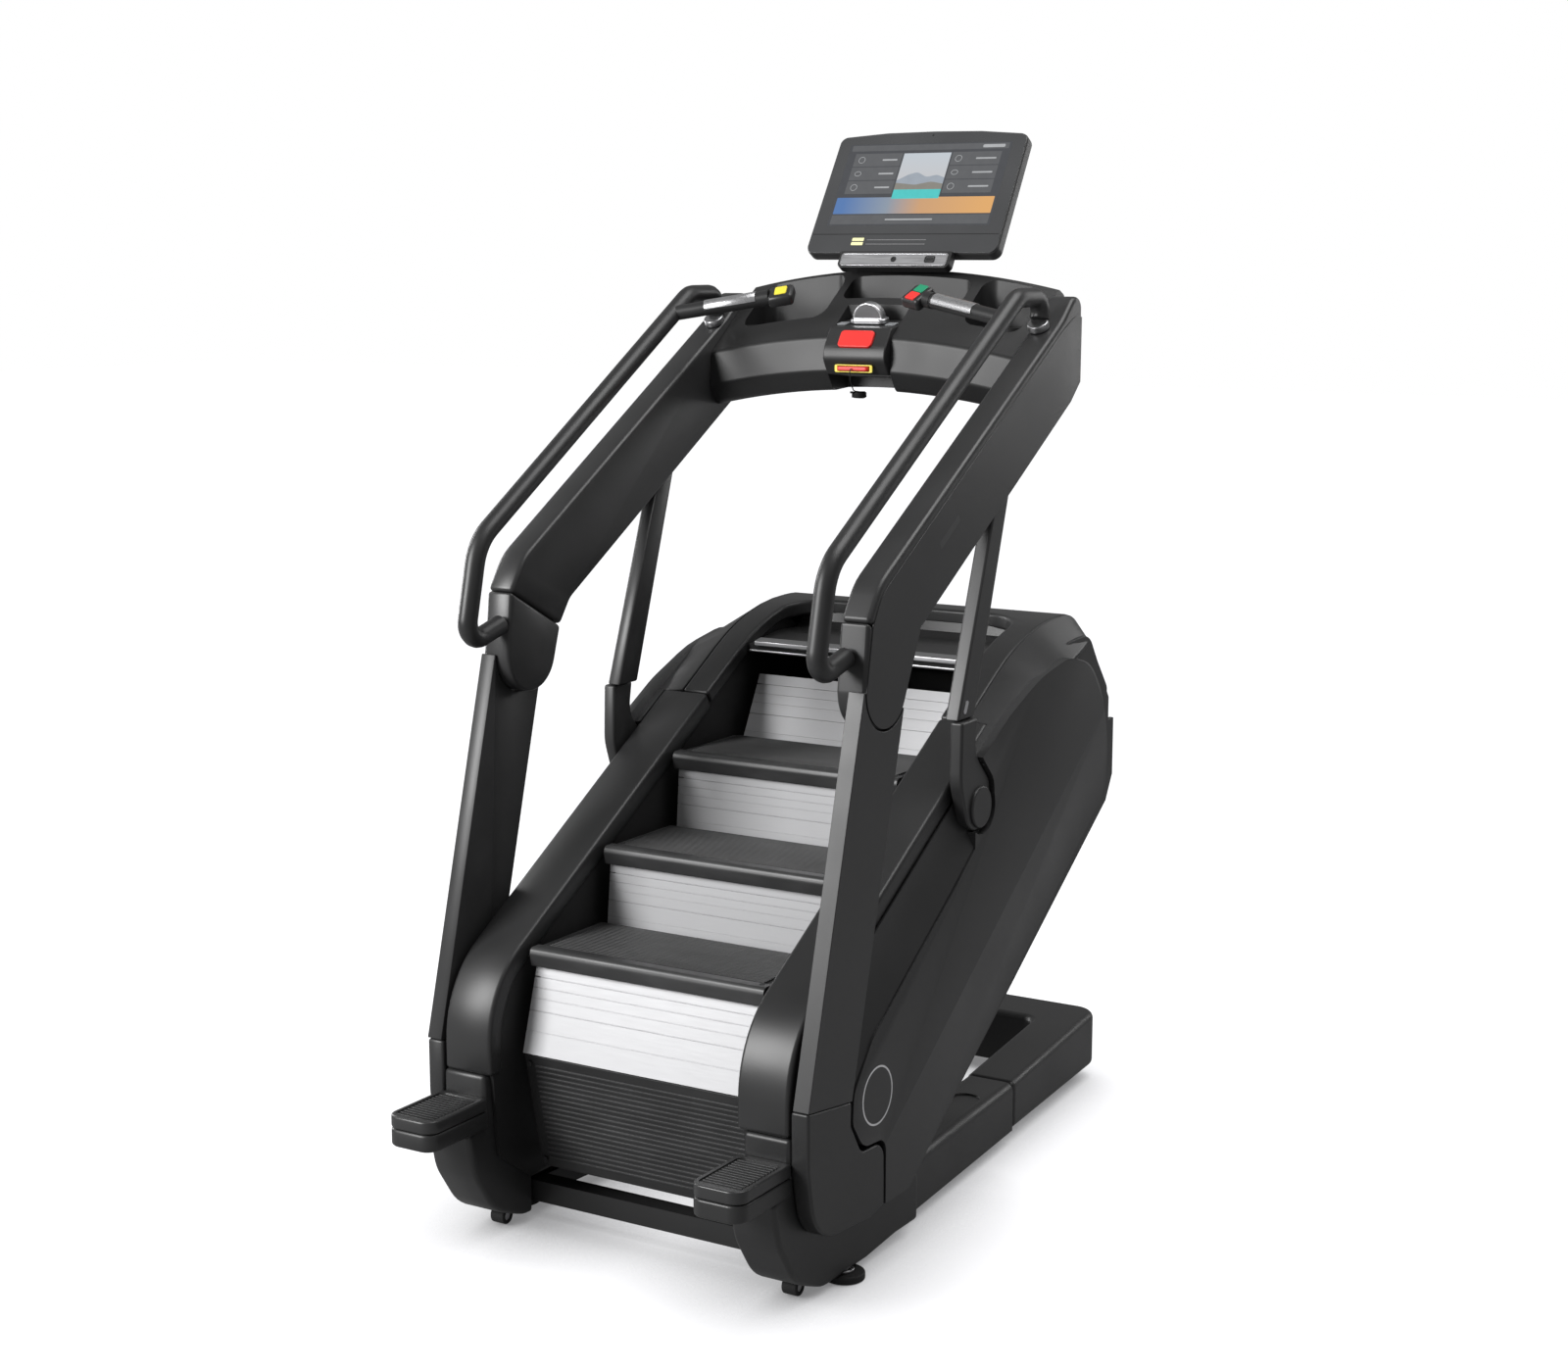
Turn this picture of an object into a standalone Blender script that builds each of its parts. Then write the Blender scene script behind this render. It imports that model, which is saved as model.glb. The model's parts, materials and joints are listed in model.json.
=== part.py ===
"""Stair climber for a gym: a sloping run of power-braked steps between two arched side bodies,
with a console, a tilted display and handrails carried on two leaning uprights.

Metres, +Z up.  The user faces +Y.  y = 0 below is the nose of the lowest standing step and
x = 0 is the plane of symmetry; the empty "machine" carries everything to the middle of the base.
"""
import math

import bmesh
import bpy
from mathutils import Matrix, Vector

for old in list(bpy.data.objects):
    bpy.data.objects.remove(old, do_unlink=True)

# ---------------------------------------------------------------- driving dimensions (metres)
GAP = 0.0004                 # air left between pieces that rest on each other

FRONT_Y = -0.300             # front of the entry steps
REAR_Y = 1.530               # rear of the base
HALF_WIDTH = 0.452           # outer faces of the uprights and side panels

STEP_RUN = 0.264             # one step forward ...
STEP_RISE = 0.158            # ... and up
HALF_TREAD = 0.280
TREAD_DEPTH = 0.268
TREAD_LIP = 0.040            # height of the rounded nose
FIRST_NOSE_Z = 0.602
RISER_THICK = 0.010
SLOPE = math.atan2(STEP_RISE, STEP_RUN)

WALL_IN, WALL_OUT = 0.2990, 0.3070        # black inner walls beside the steps
SHROUD_IN, SHROUD_OUT = 0.2925, 0.4080    # arched covers on both sides of the steps
PANEL_IN = 0.3985                         # inner face of the side panels
UPRIGHT_IN = 0.4170
ARM_IN, ARM_OUT = 0.3860, 0.4505

BASE_UNDER = 0.030           # underside of the base covers
BASE_TOP = 0.142
BASE_REAR_TOP = 0.166
BASE_ARM = 0.122             # width of one base cover
BASE_WALL = 0.006

TUBE_R = 0.0205              # handrail tube
RAIL_X = 0.407

KNUCKLE = (0.172, 1.178)     # y, z of the round arm joint cover
KNUCKLE_R = 0.082

UPPER_SHAFT = (1.050, 0.815)
LOWER_SHAFT = (0.190, 0.300)
SPROCKET_R = 0.088
SHAFT_R = 0.016
BRAKE_SHAFT = (0.860, 0.600)
BRAKE_PULLEY_R = 0.030
SHAFT_PULLEY_R = 0.075
PULLEY_X = (0.120, 0.138)

DISPLAY_TILT = math.radians(31.7)
DISPLAY_FOOT = (0.0, 1.028, 1.992)        # middle of the screen face's lower edge
DISPLAY_WIDTH, DISPLAY_HEIGHT, DISPLAY_THICK = 0.484, 0.322, 0.034

POD_HALF = 0.078
FOOT_X, FOOT_Y, FOOT_R = 0.397, 0.113, 0.042
CROSS_Y = 0.620              # front of the middle cross member of the base
WHEEL_CENTRE = (0.3540, -0.0120, 0.0200)
WHEEL_R = 0.0180
ROUND = 6                    # segments in a quarter of a rounded corner

machine = bpy.data.objects.new("machine", None)
machine.location = (0.0, -(FRONT_Y + REAR_Y) / 2, 0.0)
bpy.context.scene.collection.objects.link(machine)


# ---------------------------------------------------------------- materials
def finish(name, colour, roughness, metallic=0.0):
    """A plain Principled material with one colour."""
    made = bpy.data.materials.new(name)
    made.use_nodes = True
    shader = made.node_tree.nodes["Principled BSDF"]
    shader.inputs["Base Color"].default_value = (*colour, 1.0)
    shader.inputs["Roughness"].default_value = roughness
    shader.inputs["Metallic"].default_value = metallic
    made.diffuse_color = (*colour, 1.0)
    return made


CHARCOAL = finish("charcoal_plastic", (0.060, 0.060, 0.062), 0.50)
GRAPHITE = finish("graphite_plastic", (0.090, 0.090, 0.092), 0.45)
BLACK = finish("black_plastic", (0.015, 0.015, 0.016), 0.55)
STEEL_PAINT = finish("painted_steel", (0.045, 0.045, 0.047), 0.45, 0.3)
SILVER = finish("satin_aluminium", (0.700, 0.705, 0.710), 0.35, 1.0)
BARE_STEEL = finish("bare_steel", (0.450, 0.450, 0.460), 0.35, 1.0)
RUBBER = finish("black_rubber", (0.020, 0.020, 0.020), 0.85)
RED = finish("red_plastic", (0.850, 0.060, 0.060), 0.40)
GREEN = finish("green_plastic", (0.020, 0.300, 0.160), 0.40)
YELLOW = finish("yellow_plastic", (0.900, 0.780, 0.060), 0.40)
GLASS = finish("display_face", (0.030, 0.032, 0.036), 0.15)


# ---------------------------------------------------------------- shape helpers
def rounded(corners, radii, steps=ROUND):
    """Closed outline of 2-D corners, each rounded by an arc of its own radius."""
    outline = []
    count = len(corners)
    for index, corner in enumerate(corners):
        radius = radii[index] if isinstance(radii, (list, tuple)) else radii
        here = Vector(corner)
        to_last = (Vector(corners[index - 1]) - here).normalized()
        to_next = (Vector(corners[(index + 1) % count]) - here).normalized()
        half = to_last.angle(to_next) / 2
        if radius <= 0.0 or half > math.radians(89):
            outline.append((here.x, here.y))
            continue
        centre = here + (to_last + to_next).normalized() * radius / math.sin(half)
        first = here + to_last * radius / math.tan(half) - centre
        sweep = math.pi - 2 * half
        turn = 1.0 if to_last.x * to_next.y - to_last.y * to_next.x < 0 else -1.0
        pieces = max(2, math.ceil(steps * sweep / (math.pi / 2)))
        for step in range(pieces + 1):
            angle = turn * sweep * step / pieces
            spoke = Matrix.Rotation(angle, 2) @ first
            outline.append((centre.x + spoke.x, centre.y + spoke.y))
    return outline


def open_path(corners, radii, steps=ROUND):
    """Open path of 2-D corners with rounded inner corners."""
    closed = rounded(list(corners), [0.0, *radii, 0.0], steps)
    return closed


def arc(centre, radius, start, end, steps):
    """Points on an arc, angles in degrees, measured from +Y towards +Z."""
    angles = [math.radians(start + (end - start) * i / steps) for i in range(steps + 1)]
    return [(centre[0] + radius * math.cos(a), centre[1] + radius * math.sin(a)) for a in angles]


def path_normals(path):
    """Unit normals that point to the right of the walking direction, shared between segments."""
    points = [Vector(p) for p in path]
    normals = []
    for index in range(len(points)):
        before = points[max(index - 1, 0)]
        after = points[min(index + 1, len(points) - 1)]
        along = (after - before).normalized()
        normals.append(Vector((along.y, -along.x)))
    return normals


def offset(path, distance):
    """The path moved sideways, to the right of its walking direction."""
    return [tuple(Vector(p) + n * distance) for p, n in zip(path, path_normals(path))]


def grow(outline, distance):
    """Closed outline moved outwards by a distance."""
    area = sum(a[0] * b[1] - b[0] * a[1] for a, b in zip(outline, outline[1:] + outline[:1]))
    sign = 1.0 if area > 0 else -1.0
    grown = []
    for index, point in enumerate(outline):
        before = Vector(outline[index - 1])
        after = Vector(outline[(index + 1) % len(outline)])
        along = (after - before).normalized()
        grown.append(tuple(Vector(point) + Vector((along.y, -along.x)) * sign * distance))
    return grown


def new_object(name, bm, material, origin=(0.0, 0.0, 0.0), sharp=32.0):
    """Turn a bmesh in machine coordinates into a named object whose origin is at origin."""
    bmesh.ops.remove_doubles(bm, verts=bm.verts, dist=0.00002)
    bmesh.ops.recalc_face_normals(bm, faces=bm.faces)
    bmesh.ops.translate(bm, verts=bm.verts, vec=-Vector(origin))
    mesh = bpy.data.meshes.new(name)
    bm.to_mesh(mesh)
    bm.free()
    mesh.shade_smooth()
    mesh.set_sharp_from_angle(angle=math.radians(sharp))
    mesh.materials.append(material)
    made = bpy.data.objects.new(name, mesh)
    bpy.context.scene.collection.objects.link(made)
    made.location = origin
    made.parent = machine
    return made


def loft(outline_a, x_a, outline_b, x_b, bm=None):
    """Solid between two outlines of (y, z) points with equally many points, across x."""
    bm = bm or bmesh.new()
    ring_a = [bm.verts.new((x_a, y, z)) for y, z in outline_a]
    ring_b = [bm.verts.new((x_b, y, z)) for y, z in outline_b]
    bm.faces.new(ring_a)
    bm.faces.new(ring_b)
    count = len(ring_a)
    for i in range(count):
        j = (i + 1) % count
        bm.faces.new((ring_a[i], ring_a[j], ring_b[j], ring_b[i]))
    return bm


def prism(outline, x_a, x_b, bm=None):
    """Outline of (y, z) points extruded across x."""
    return loft(outline, x_a, outline, x_b, bm)


def slab(outline, z_a, z_b, bm=None):
    """Outline of (x, y) points extruded up z."""
    bm = bm or bmesh.new()
    low = [bm.verts.new((x, y, z_a)) for x, y in outline]
    high = [bm.verts.new((x, y, z_b)) for x, y in outline]
    bm.faces.new(low)
    bm.faces.new(high)
    count = len(low)
    for i in range(count):
        j = (i + 1) % count
        bm.faces.new((low[i], low[j], high[j], high[i]))
    return bm


def block(low, high, bm=None):
    """Axis-aligned box between two corners."""
    bm = bm or bmesh.new()
    size = Vector(high) - Vector(low)
    middle = (Vector(high) + Vector(low)) / 2
    bmesh.ops.create_cube(bm, size=1.0, matrix=Matrix.Translation(middle) @ Matrix.Diagonal((*size, 1.0)))
    return bm


def drum(centre, radius, length, axis="X", sides=24, bm=None, radius_end=None):
    """Cylinder or cone frustum about an axis through its centre."""
    bm = bm or bmesh.new()
    turn = {"X": Matrix.Rotation(math.pi / 2, 4, "Y"), "Y": Matrix.Rotation(-math.pi / 2, 4, "X"),
            "Z": Matrix.Identity(4)}[axis]
    end = radius if radius_end is None else radius_end
    bmesh.ops.create_cone(bm, cap_ends=True, segments=sides, radius1=radius, radius2=end, depth=length,
                          matrix=Matrix.Translation(centre) @ turn)
    return bm


def sweep(section, path, normals, bm=None):
    """Move a section of (x, depth) points along a (y, z) path; depth runs along the path's normals."""
    bm = bm or bmesh.new()
    rings = []
    for (y, z), normal in zip(path, normals):
        rings.append([bm.verts.new((x, y + normal.x * d, z + normal.y * d)) for x, d in section])
    count = len(section)
    for ring, following in zip(rings, rings[1:]):
        for i in range(count):
            j = (i + 1) % count
            bm.faces.new((ring[i], ring[j], following[j], following[i]))
    bm.faces.new(rings[0])
    bm.faces.new(rings[-1])
    return bm


def tube(points, radius, sides=12, bm=None):
    """Round bar that follows 3-D points, with flat ends."""
    bm = bm or bmesh.new()
    points = [Vector(p) for p in points]
    across = None
    rings = []
    for index, point in enumerate(points):
        along = (points[min(index + 1, len(points) - 1)] - points[max(index - 1, 0)]).normalized()
        if across is None:
            across = along.orthogonal().normalized()
        across = (across - along * across.dot(along)).normalized()
        third = along.cross(across)
        turns = [2 * math.pi * i / sides for i in range(sides)]
        spokes = [(across * math.cos(t) + third * math.sin(t)) * radius for t in turns]
        rings.append([bm.verts.new(point + spoke) for spoke in spokes])
    for ring, following in zip(rings, rings[1:]):
        for i in range(sides):
            j = (i + 1) % sides
            bm.faces.new((ring[i], ring[j], following[j], following[i]))
    bm.faces.new(rings[0])
    bm.faces.new(rings[-1])
    return bm


def moved(bm, matrix):
    """Place a shape that was modelled about its own origin."""
    bmesh.ops.transform(bm, matrix=matrix, verts=bm.verts)
    return bm


def soften(obj, width, segments=2, angle=35.0):
    """Rounded edges."""
    modifier = obj.modifiers.new("soften", "BEVEL")
    modifier.width = width
    modifier.segments = segments
    modifier.limit_method = "ANGLE"
    modifier.angle_limit = math.radians(angle)
    modifier.harden_normals = False
    return obj


def combine(obj, bm, operation):
    """Join to, or cut from, an object a shape given in machine coordinates."""
    tool = new_object(f"tool_{obj.name}_{len(obj.modifiers)}", bm, obj.data.materials[0])
    tool.hide_render = True
    tool.display_type = "WIRE"
    modifier = obj.modifiers.new(operation.lower(), "BOOLEAN")
    modifier.operation = operation
    modifier.object = tool
    modifier.solver = "EXACT"
    return obj


def cut(obj, bm):
    return combine(obj, bm, "DIFFERENCE")


def join(obj, bm):
    return combine(obj, bm, "UNION")


SIDES = (("left", -1.0), ("right", 1.0))

# ---------------------------------------------------------------- side profile of the body
SHROUD_LOW = [(-0.119, 0.3585), (-0.119, 0.542), (0.690, 1.0230)]
SHROUD_TOP = [(0.690, 1.0230), (0.971, 1.190), (1.215, 1.190), (1.335, 1.020), (1.335, 0.935)]
shroud_low_path = open_path(SHROUD_LOW, [0.22], 8)
shroud_top_path = open_path(SHROUD_TOP, [0.60, 0.10, 0.06], 8)
COVER_SKIN = 0.012
COVER_LIP = 0.045
COVER_LIP_THICK = 0.006


def base_edge(y):
    """Half width of the base at y: it narrows evenly towards the rear."""
    front_half, rear_half = 0.410, 0.303
    front_y = 0.100
    return front_half + (rear_half - front_half) * (y - front_y) / (REAR_Y - front_y)


# ---------------------------------------------------------------- base
def build_base_frame():
    """Welded bars inside the base covers, with cross members at the front, middle and rear."""
    front, rear = 0.045, 1.440
    low, high = 0.040, 0.085
    inset, wide = 0.100, 0.050
    bm = block((-0.350, front, low), (0.350, front + 0.045, high))
    frame = new_object("base_frame", bm, STEEL_PAINT)
    for _, side in SIDES:
        outline = []
        for y, extra in ((front + 0.02, 0.0), (rear, 0.0), (rear, wide), (front + 0.02, wide)):
            outline.append((side * (base_edge(y) - inset + extra), y))
        join(frame, slab(outline, low + 0.001, high - 0.001))
    for y in (CROSS_Y, rear - 0.035):
        half = base_edge(y) - inset + 0.01
        join(frame, block((-half, y, low + 0.002), (half, y + 0.045, high - 0.002)))
    for _, side in SIDES:
        x_low, x_high = sorted((side * 0.340, side * (FOOT_X + 0.0065)))
        join(frame, block((x_low, FOOT_Y - 0.020, 0.0400), (x_high, FOOT_Y + 0.020, 0.0480)))
        x = side * (base_edge(1.430) - 0.080)
        join(frame, drum((x, 1.430, 0.030), 0.006, 0.040, "Z", 12))
        join(frame, drum((x, 1.430, 0.006), 0.038, 0.012, "Z", 20))
    return frame


def build_base_covers():
    """Channel-shaped covers over the base bars, and the U-shaped rear one."""
    seam_front, seam_rear = 0.3925, 0.9700
    for tag, side in SIDES:
        outline = [(side * base_edge(seam_front), seam_front), (side * base_edge(seam_rear), seam_rear),
                   (side * (base_edge(seam_rear) - BASE_ARM), seam_rear),
                   (side * (base_edge(seam_front) - BASE_ARM), seam_front)]
        cover = new_object(f"base_cover_{tag}", slab(outline, BASE_UNDER, BASE_TOP), CHARCOAL)
        soften(cover, 0.016, 2, 60.0)
        inner = [(side * (base_edge(y) - BASE_WALL - extra), y)
                 for y, extra in ((0.30, 0.0), (1.10, 0.0), (1.10, BASE_ARM - 2 * BASE_WALL),
                                  (0.30, BASE_ARM - 2 * BASE_WALL))]
        cut(cover, slab(inner, 0.0, BASE_TOP - BASE_WALL - 0.018))
        inner_edge = base_edge(CROSS_Y) - BASE_ARM
        x_low, x_high = sorted((side * (inner_edge - 0.020), side * (inner_edge + 0.020)))
        cut(cover, block((x_low, CROSS_Y - 0.004, 0.0), (x_high, CROSS_Y + 0.049, 0.089)))
    start = seam_rear + 2 * GAP
    inner_rear = REAR_Y - 0.135
    corners = [(base_edge(start), start), (base_edge(REAR_Y), REAR_Y), (-base_edge(REAR_Y), REAR_Y),
               (-base_edge(start), start), (-(base_edge(start) - BASE_ARM), start),
               (-(base_edge(inner_rear) - BASE_ARM), inner_rear),
               (base_edge(inner_rear) - BASE_ARM, inner_rear),
               (base_edge(start) - BASE_ARM, start)]
    bm = slab(rounded(corners, [0.0, 0.045, 0.045, 0.0, 0.0, 0.020, 0.020, 0.0], 4), BASE_UNDER, BASE_TOP)
    for vertex in bm.verts:
        if vertex.co.z > BASE_TOP - 0.001:
            vertex.co.z += (BASE_REAR_TOP - BASE_TOP) * (vertex.co.y - start) / (REAR_Y - start)
    rear = new_object("base_rear_cover", bm, CHARCOAL)
    soften(rear, 0.016, 2, 50.0)
    thin = BASE_WALL
    cut(rear, slab([(base_edge(0.9) - thin, 0.9), (base_edge(REAR_Y) - thin, REAR_Y - 2 * thin),
                    (-(base_edge(REAR_Y) - thin), REAR_Y - 2 * thin), (-(base_edge(0.9) - thin), 0.9),
                    (-(base_edge(0.9) - BASE_ARM + thin), 0.9),
                    (-(base_edge(inner_rear) - BASE_ARM + thin), inner_rear + thin),
                    (base_edge(inner_rear) - BASE_ARM + thin, inner_rear + thin),
                    (base_edge(0.9) - BASE_ARM + thin, 0.9)], 0.0, BASE_TOP - thin - 0.018))


def build_lower_shells():
    """Hull-shaped lower fairings that carry the entry steps."""
    step_top, pad, step_low = 0.3130, 0.026, 0.248
    body = rounded([(-0.119, 0.3580), (-0.119, step_low + 0.012), (-0.176, step_low), (-0.150, 0.100),
                    (-0.010, 0.0200), (0.180, 0.0200), (0.300, 0.0300), (0.3920, 0.0300), (0.3920, 0.1400),
                    (0.230, 0.1400), (0.040, 0.3580)],
                   [0.0, 0.0, 0.0, 0.110, 0.080, 0.0, 0.0, 0.0, 0.020, 0.03, 0.0], 5)
    for tag, side in SIDES:
        shell = new_object(f"lower_shell_{tag}", prism(body, side * 0.3075, side * 0.4120), CHARCOAL)
        soften(shell, 0.010, 1, 50.0)
        x_in, x_out = side * 0.3000, side * 0.4160
        foot = rounded([(x_in, FRONT_Y), (x_out, FRONT_Y), (x_out, -0.117), (x_in, -0.117)],
                       [0.026, 0.026, 0.0, 0.0], 4)
        join(shell, slab(foot, step_low, step_top - pad - GAP))
        notch_in, notch_out = side * 0.2900, side * 0.3760
        cut(shell, block((min(notch_in, notch_out), 0.030, 0.000), (max(notch_in, notch_out), 0.420, 0.098)))
        x_low, x_high = sorted((side * 0.350, side * (FOOT_X + 0.0100)))
        cut(shell, block((x_low, FOOT_Y - 0.0240, 0.0), (x_high, FOOT_Y + 0.0240, 0.056)))
        x_low, x_high = sorted((side * 0.4010, side * 0.4300))
        cut(shell, block((x_low, 0.0440, 0.1422), (x_high, 0.4300, 0.4000)))
        centre = (side * WHEEL_CENTRE[0], WHEEL_CENTRE[1], WHEEL_CENTRE[2])
        cut(shell, drum(centre, WHEEL_R + 0.0040, 0.0360, "X", 20))


def build_entry_pads():
    """Ribbed plastic pads on both entry steps."""
    step_top, pad = 0.3130, 0.026
    for tag, side in SIDES:
        x_in, x_out = side * 0.3000, side * 0.4160
        outline = rounded([(x_in, FRONT_Y), (x_out, FRONT_Y), (x_out, -0.1196), (x_in, -0.1196)],
                          [0.026, 0.026, 0.006, 0.006], 4)
        bm = slab(outline, step_top - pad, step_top - 0.002)
        ribs, ridges = 10, None
        for i in range(ribs):
            y = FRONT_Y + 0.026 + i * 0.0145
            x_low, x_high = sorted((side * 0.312, side * 0.404))
            ridges = block((x_low, y, step_top - 0.0030), (x_high, y + 0.006, step_top), ridges)
        join(new_object(f"entry_pad_{tag}", bm, RUBBER), ridges)


def build_levelling_feet():
    """Screw feet at the front: rubber disc, steel stem and jam nut."""
    for tag, side in SIDES:
        place = (side * FOOT_X, FOOT_Y)
        foot = new_object(f"levelling_foot_{tag}", drum((*place, 0.0060), FOOT_R, 0.012, "Z", 24), RUBBER,
                          (*place, 0.0))
        join(foot, drum((*place, 0.0145), 0.036, 0.006, "Z", 24, None, 0.012))
        join(foot, drum((*place, 0.0270), 0.0060, 0.0250, "Z", 12))
        join(foot, drum((*place, 0.0270), 0.0095, 0.0060, "Z", 6))


# ---------------------------------------------------------------- body covers
def cover_section(side):
    """U-shaped cross-section of the arched covers."""
    inner, outer = side * SHROUD_IN, side * SHROUD_OUT
    thick = side * COVER_LIP_THICK
    return [(inner, 0.0), (outer, 0.0), (outer, COVER_LIP), (outer - thick, COVER_LIP),
            (outer - thick, COVER_SKIN), (inner + thick, COVER_SKIN), (inner + thick, COVER_LIP),
            (inner, COVER_LIP)]


def build_shrouds():
    """Arched covers from the entry steps up the incline."""
    normals = path_normals(shroud_low_path)
    for tag, side in SIDES:
        shroud = new_object(f"shroud_{tag}", sweep(cover_section(side), shroud_low_path, normals), CHARCOAL)
        soften(shroud, 0.003, 1, 60.0)


def build_top_cover():
    """Cover over the top of the stair run: two side bands, a sunken deck and the rounded back."""
    thick = 0.014
    path = shroud_top_path
    start = offset(path, 0.0)[0]
    along = Vector((math.cos(SLOPE), math.sin(SLOPE)))
    path = [tuple(Vector(start) + along * 2 * GAP)] + path[1:]
    outline = path + list(reversed(offset(path, thick)))
    bm = prism(outline, -SHROUD_OUT, SHROUD_OUT)
    top = new_object("top_cover", bm, CHARCOAL)
    well = SHROUD_IN + 0.0010
    cut(top, slab(rounded([(-well, 0.500), (well, 0.500), (well, 1.120), (-well, 1.120)],
                          [0.0, 0.0, 0.09, 0.09], 6), 0.90, 1.30))
    deck = [(0.870, 1.108), (1.125, 1.108), (1.140, 1.120), (1.140, 1.183), (1.128, 1.183), (1.110, 1.128),
            (0.870, 1.122)]
    join(top, prism(deck, -0.2970, 0.2970))
    for _, side in SIDES:
        x_low, x_high = sorted((side * SHROUD_IN, side * (SHROUD_IN + COVER_LIP_THICK)))
        upper = [tuple(Vector(path[0]) + along * 0.0012)] + [p for p in path[1:] if p[0] < 1.16]
        lip = offset(upper, 0.006) + list(reversed(offset(upper, COVER_LIP)))
        join(top, prism(lip, x_low, x_high))
    bar = rounded([(0.846, 1.110), (0.876, 1.110), (0.876, 1.128), (0.846, 1.123)], 0.003, 2)
    join(top, prism(bar, -0.2930, 0.2930))
    join(top, prism([(0.858, 1.094), (0.869, 1.094), (0.869, 1.112), (0.858, 1.112)], -0.286, 0.286))
    return top


def build_step_frame():
    """Side plates beside the steps, tied by cross tubes, with bearing holes for both shafts."""
    upper = offset(shroud_low_path, COVER_SKIN + 0.005) + offset(shroud_top_path, COVER_SKIN + 0.006)[3:]
    upper = [p for p in upper if p[0] < 1.12]
    outline = upper + [(1.290, 1.000), (1.305, 0.815), (0.300, 0.135), (0.020, 0.105), (-0.085, 0.180)]
    made = new_object("step_frame", prism(outline, WALL_IN, WALL_OUT), BLACK)
    join(made, prism(outline, -WALL_IN, -WALL_OUT))
    for y, z in ((0.450, 0.300), (1.220, 0.780)):
        join(made, drum((0.0, y, z), 0.020, 2 * WALL_IN + 0.004, "X", 16))
    for y, z in (UPPER_SHAFT, LOWER_SHAFT):
        cut(made, drum((0.0, y, z), SHAFT_R + 0.002, 0.70, "X", 20))
    return made


PANEL_REAR_TOP = (1.225, 0.930)
PANEL_REAR_LOW = (1.225, 0.800)


def build_side_panels():
    """Large outer panels: a thin backing sheet and a raised, tapering face with a rounded lower end."""
    under = COVER_LIP + 0.001
    backing_upper = offset(shroud_low_path, under)[4:] + offset(shroud_top_path, under)[1:]
    backing_upper = [p for p in backing_upper if 0.0 < p[0] < 1.22]
    backing = backing_upper + [(1.305, 0.985), (1.305, 0.933), (1.334, 0.933), (1.334, 0.800),
                               (1.300, 0.742), (0.395, 0.143), (0.235, 0.143), (0.190, 0.190)]
    face = [(0.180, 0.143), (0.180, 0.280), (0.090, 0.286), (0.048, 0.345), (0.052, 0.405), (0.124, 0.496),
            (0.280, 0.600), (0.457, 0.714), (0.5150, 0.758), (0.5150, 0.935), (0.693, 1.036), (0.864, 1.103),
            (1.000, 1.122), (1.110, 1.085), (1.190, 0.985), (1.225, 0.880), (1.225, 0.800), (1.198, 0.765),
            (0.275, 0.143)]
    radii = [0.0, 0.03, 0.05, 0.03, 0.05, 0.10, 0.0, 0.0, 0.0, 0.0, 0.0, 0.1, 0.1, 0.1, 0.1, 0.05, 0.03,
             0.05, 0.0]
    outer = rounded(face, radii, 3)
    middle = Vector((0.62, 0.62))
    inner = []
    for y, z in outer:
        back = max(0.0, (y - 0.62) / 0.60)
        low = max(0.0, -(z - 0.143 - 0.674 * (y - 0.275)) / 0.02 + 1.0)
        push = 0.075 * back if y > middle.x else 0.0
        lift = 0.030 * min(1.0, low) * min(1.0, max(0.0, (y - 0.35) / 0.3))
        inner.append((y + push * min(1.0, back), z - lift))
    for tag, side in SIDES:
        bm = loft(outer, side * HALF_WIDTH, inner, side * (SHROUD_OUT + 0.0012))
        panel = new_object(f"side_panel_{tag}", bm, GRAPHITE)
        soften(panel, 0.006, 1, 50.0)
        join(panel, prism(backing, side * (PANEL_IN + 0.0005), side * (SHROUD_OUT + 0.0038)))
        cut(panel, prism(grow(strut_boot_outline(), 0.006), side * 0.4145, side * 0.4700))
        cut(panel, drum((side * 0.4600, 0.590, 0.874), 0.092, 0.050, "X", 28))


def build_belly():
    """Rear and underside cover of the body."""
    path = open_path([(1.3345, 0.934), (1.3345, 0.780), (0.420, 0.160)], [0.06], 5)
    outline = path + list(reversed(offset(path, 0.010)))
    return prism(outline, -0.3975, 0.3975)


# ---------------------------------------------------------------- uprights, arms, struts
def build_uprights():
    """Leaning plate-like uprights with a round seat for the arm joint, and the boots at their feet."""
    seat = arc(KNUCKLE, KNUCKLE_R + 0.0015, 178, 325, 14)
    outline = [(-0.119, 0.4160), (0.0845, 1.1815)] + seat + [(0.045, 0.3930)]
    boot = rounded([(-0.119, 0.4155), (0.045, 0.3925), (0.0430, 0.345), (0.085, 0.2780), (0.1740, 0.2740),
                    (0.1760, 0.1440), (0.1250, 0.1320), (-0.090, 0.150), (-0.119, 0.300)],
                   [0.0, 0.0, 0.02, 0.03, 0.035, 0.0, 0.0, 0.10, 0.08], 4)
    for tag, side in SIDES:
        bm = prism(outline, side * UPRIGHT_IN, side * HALF_WIDTH)
        soften(new_object(f"upright_{tag}", bm, GRAPHITE), 0.004, 1, 50.0)
        bm = prism(boot, side * 0.4124, side * HALF_WIDTH)
        soften(new_object(f"upright_boot_{tag}", bm, CHARCOAL), 0.004, 1, 50.0)


ARM_SEAM_FRONT = (0.105, 1.312)
ARM_SEAM_REAR = (0.272, 1.222)


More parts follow.
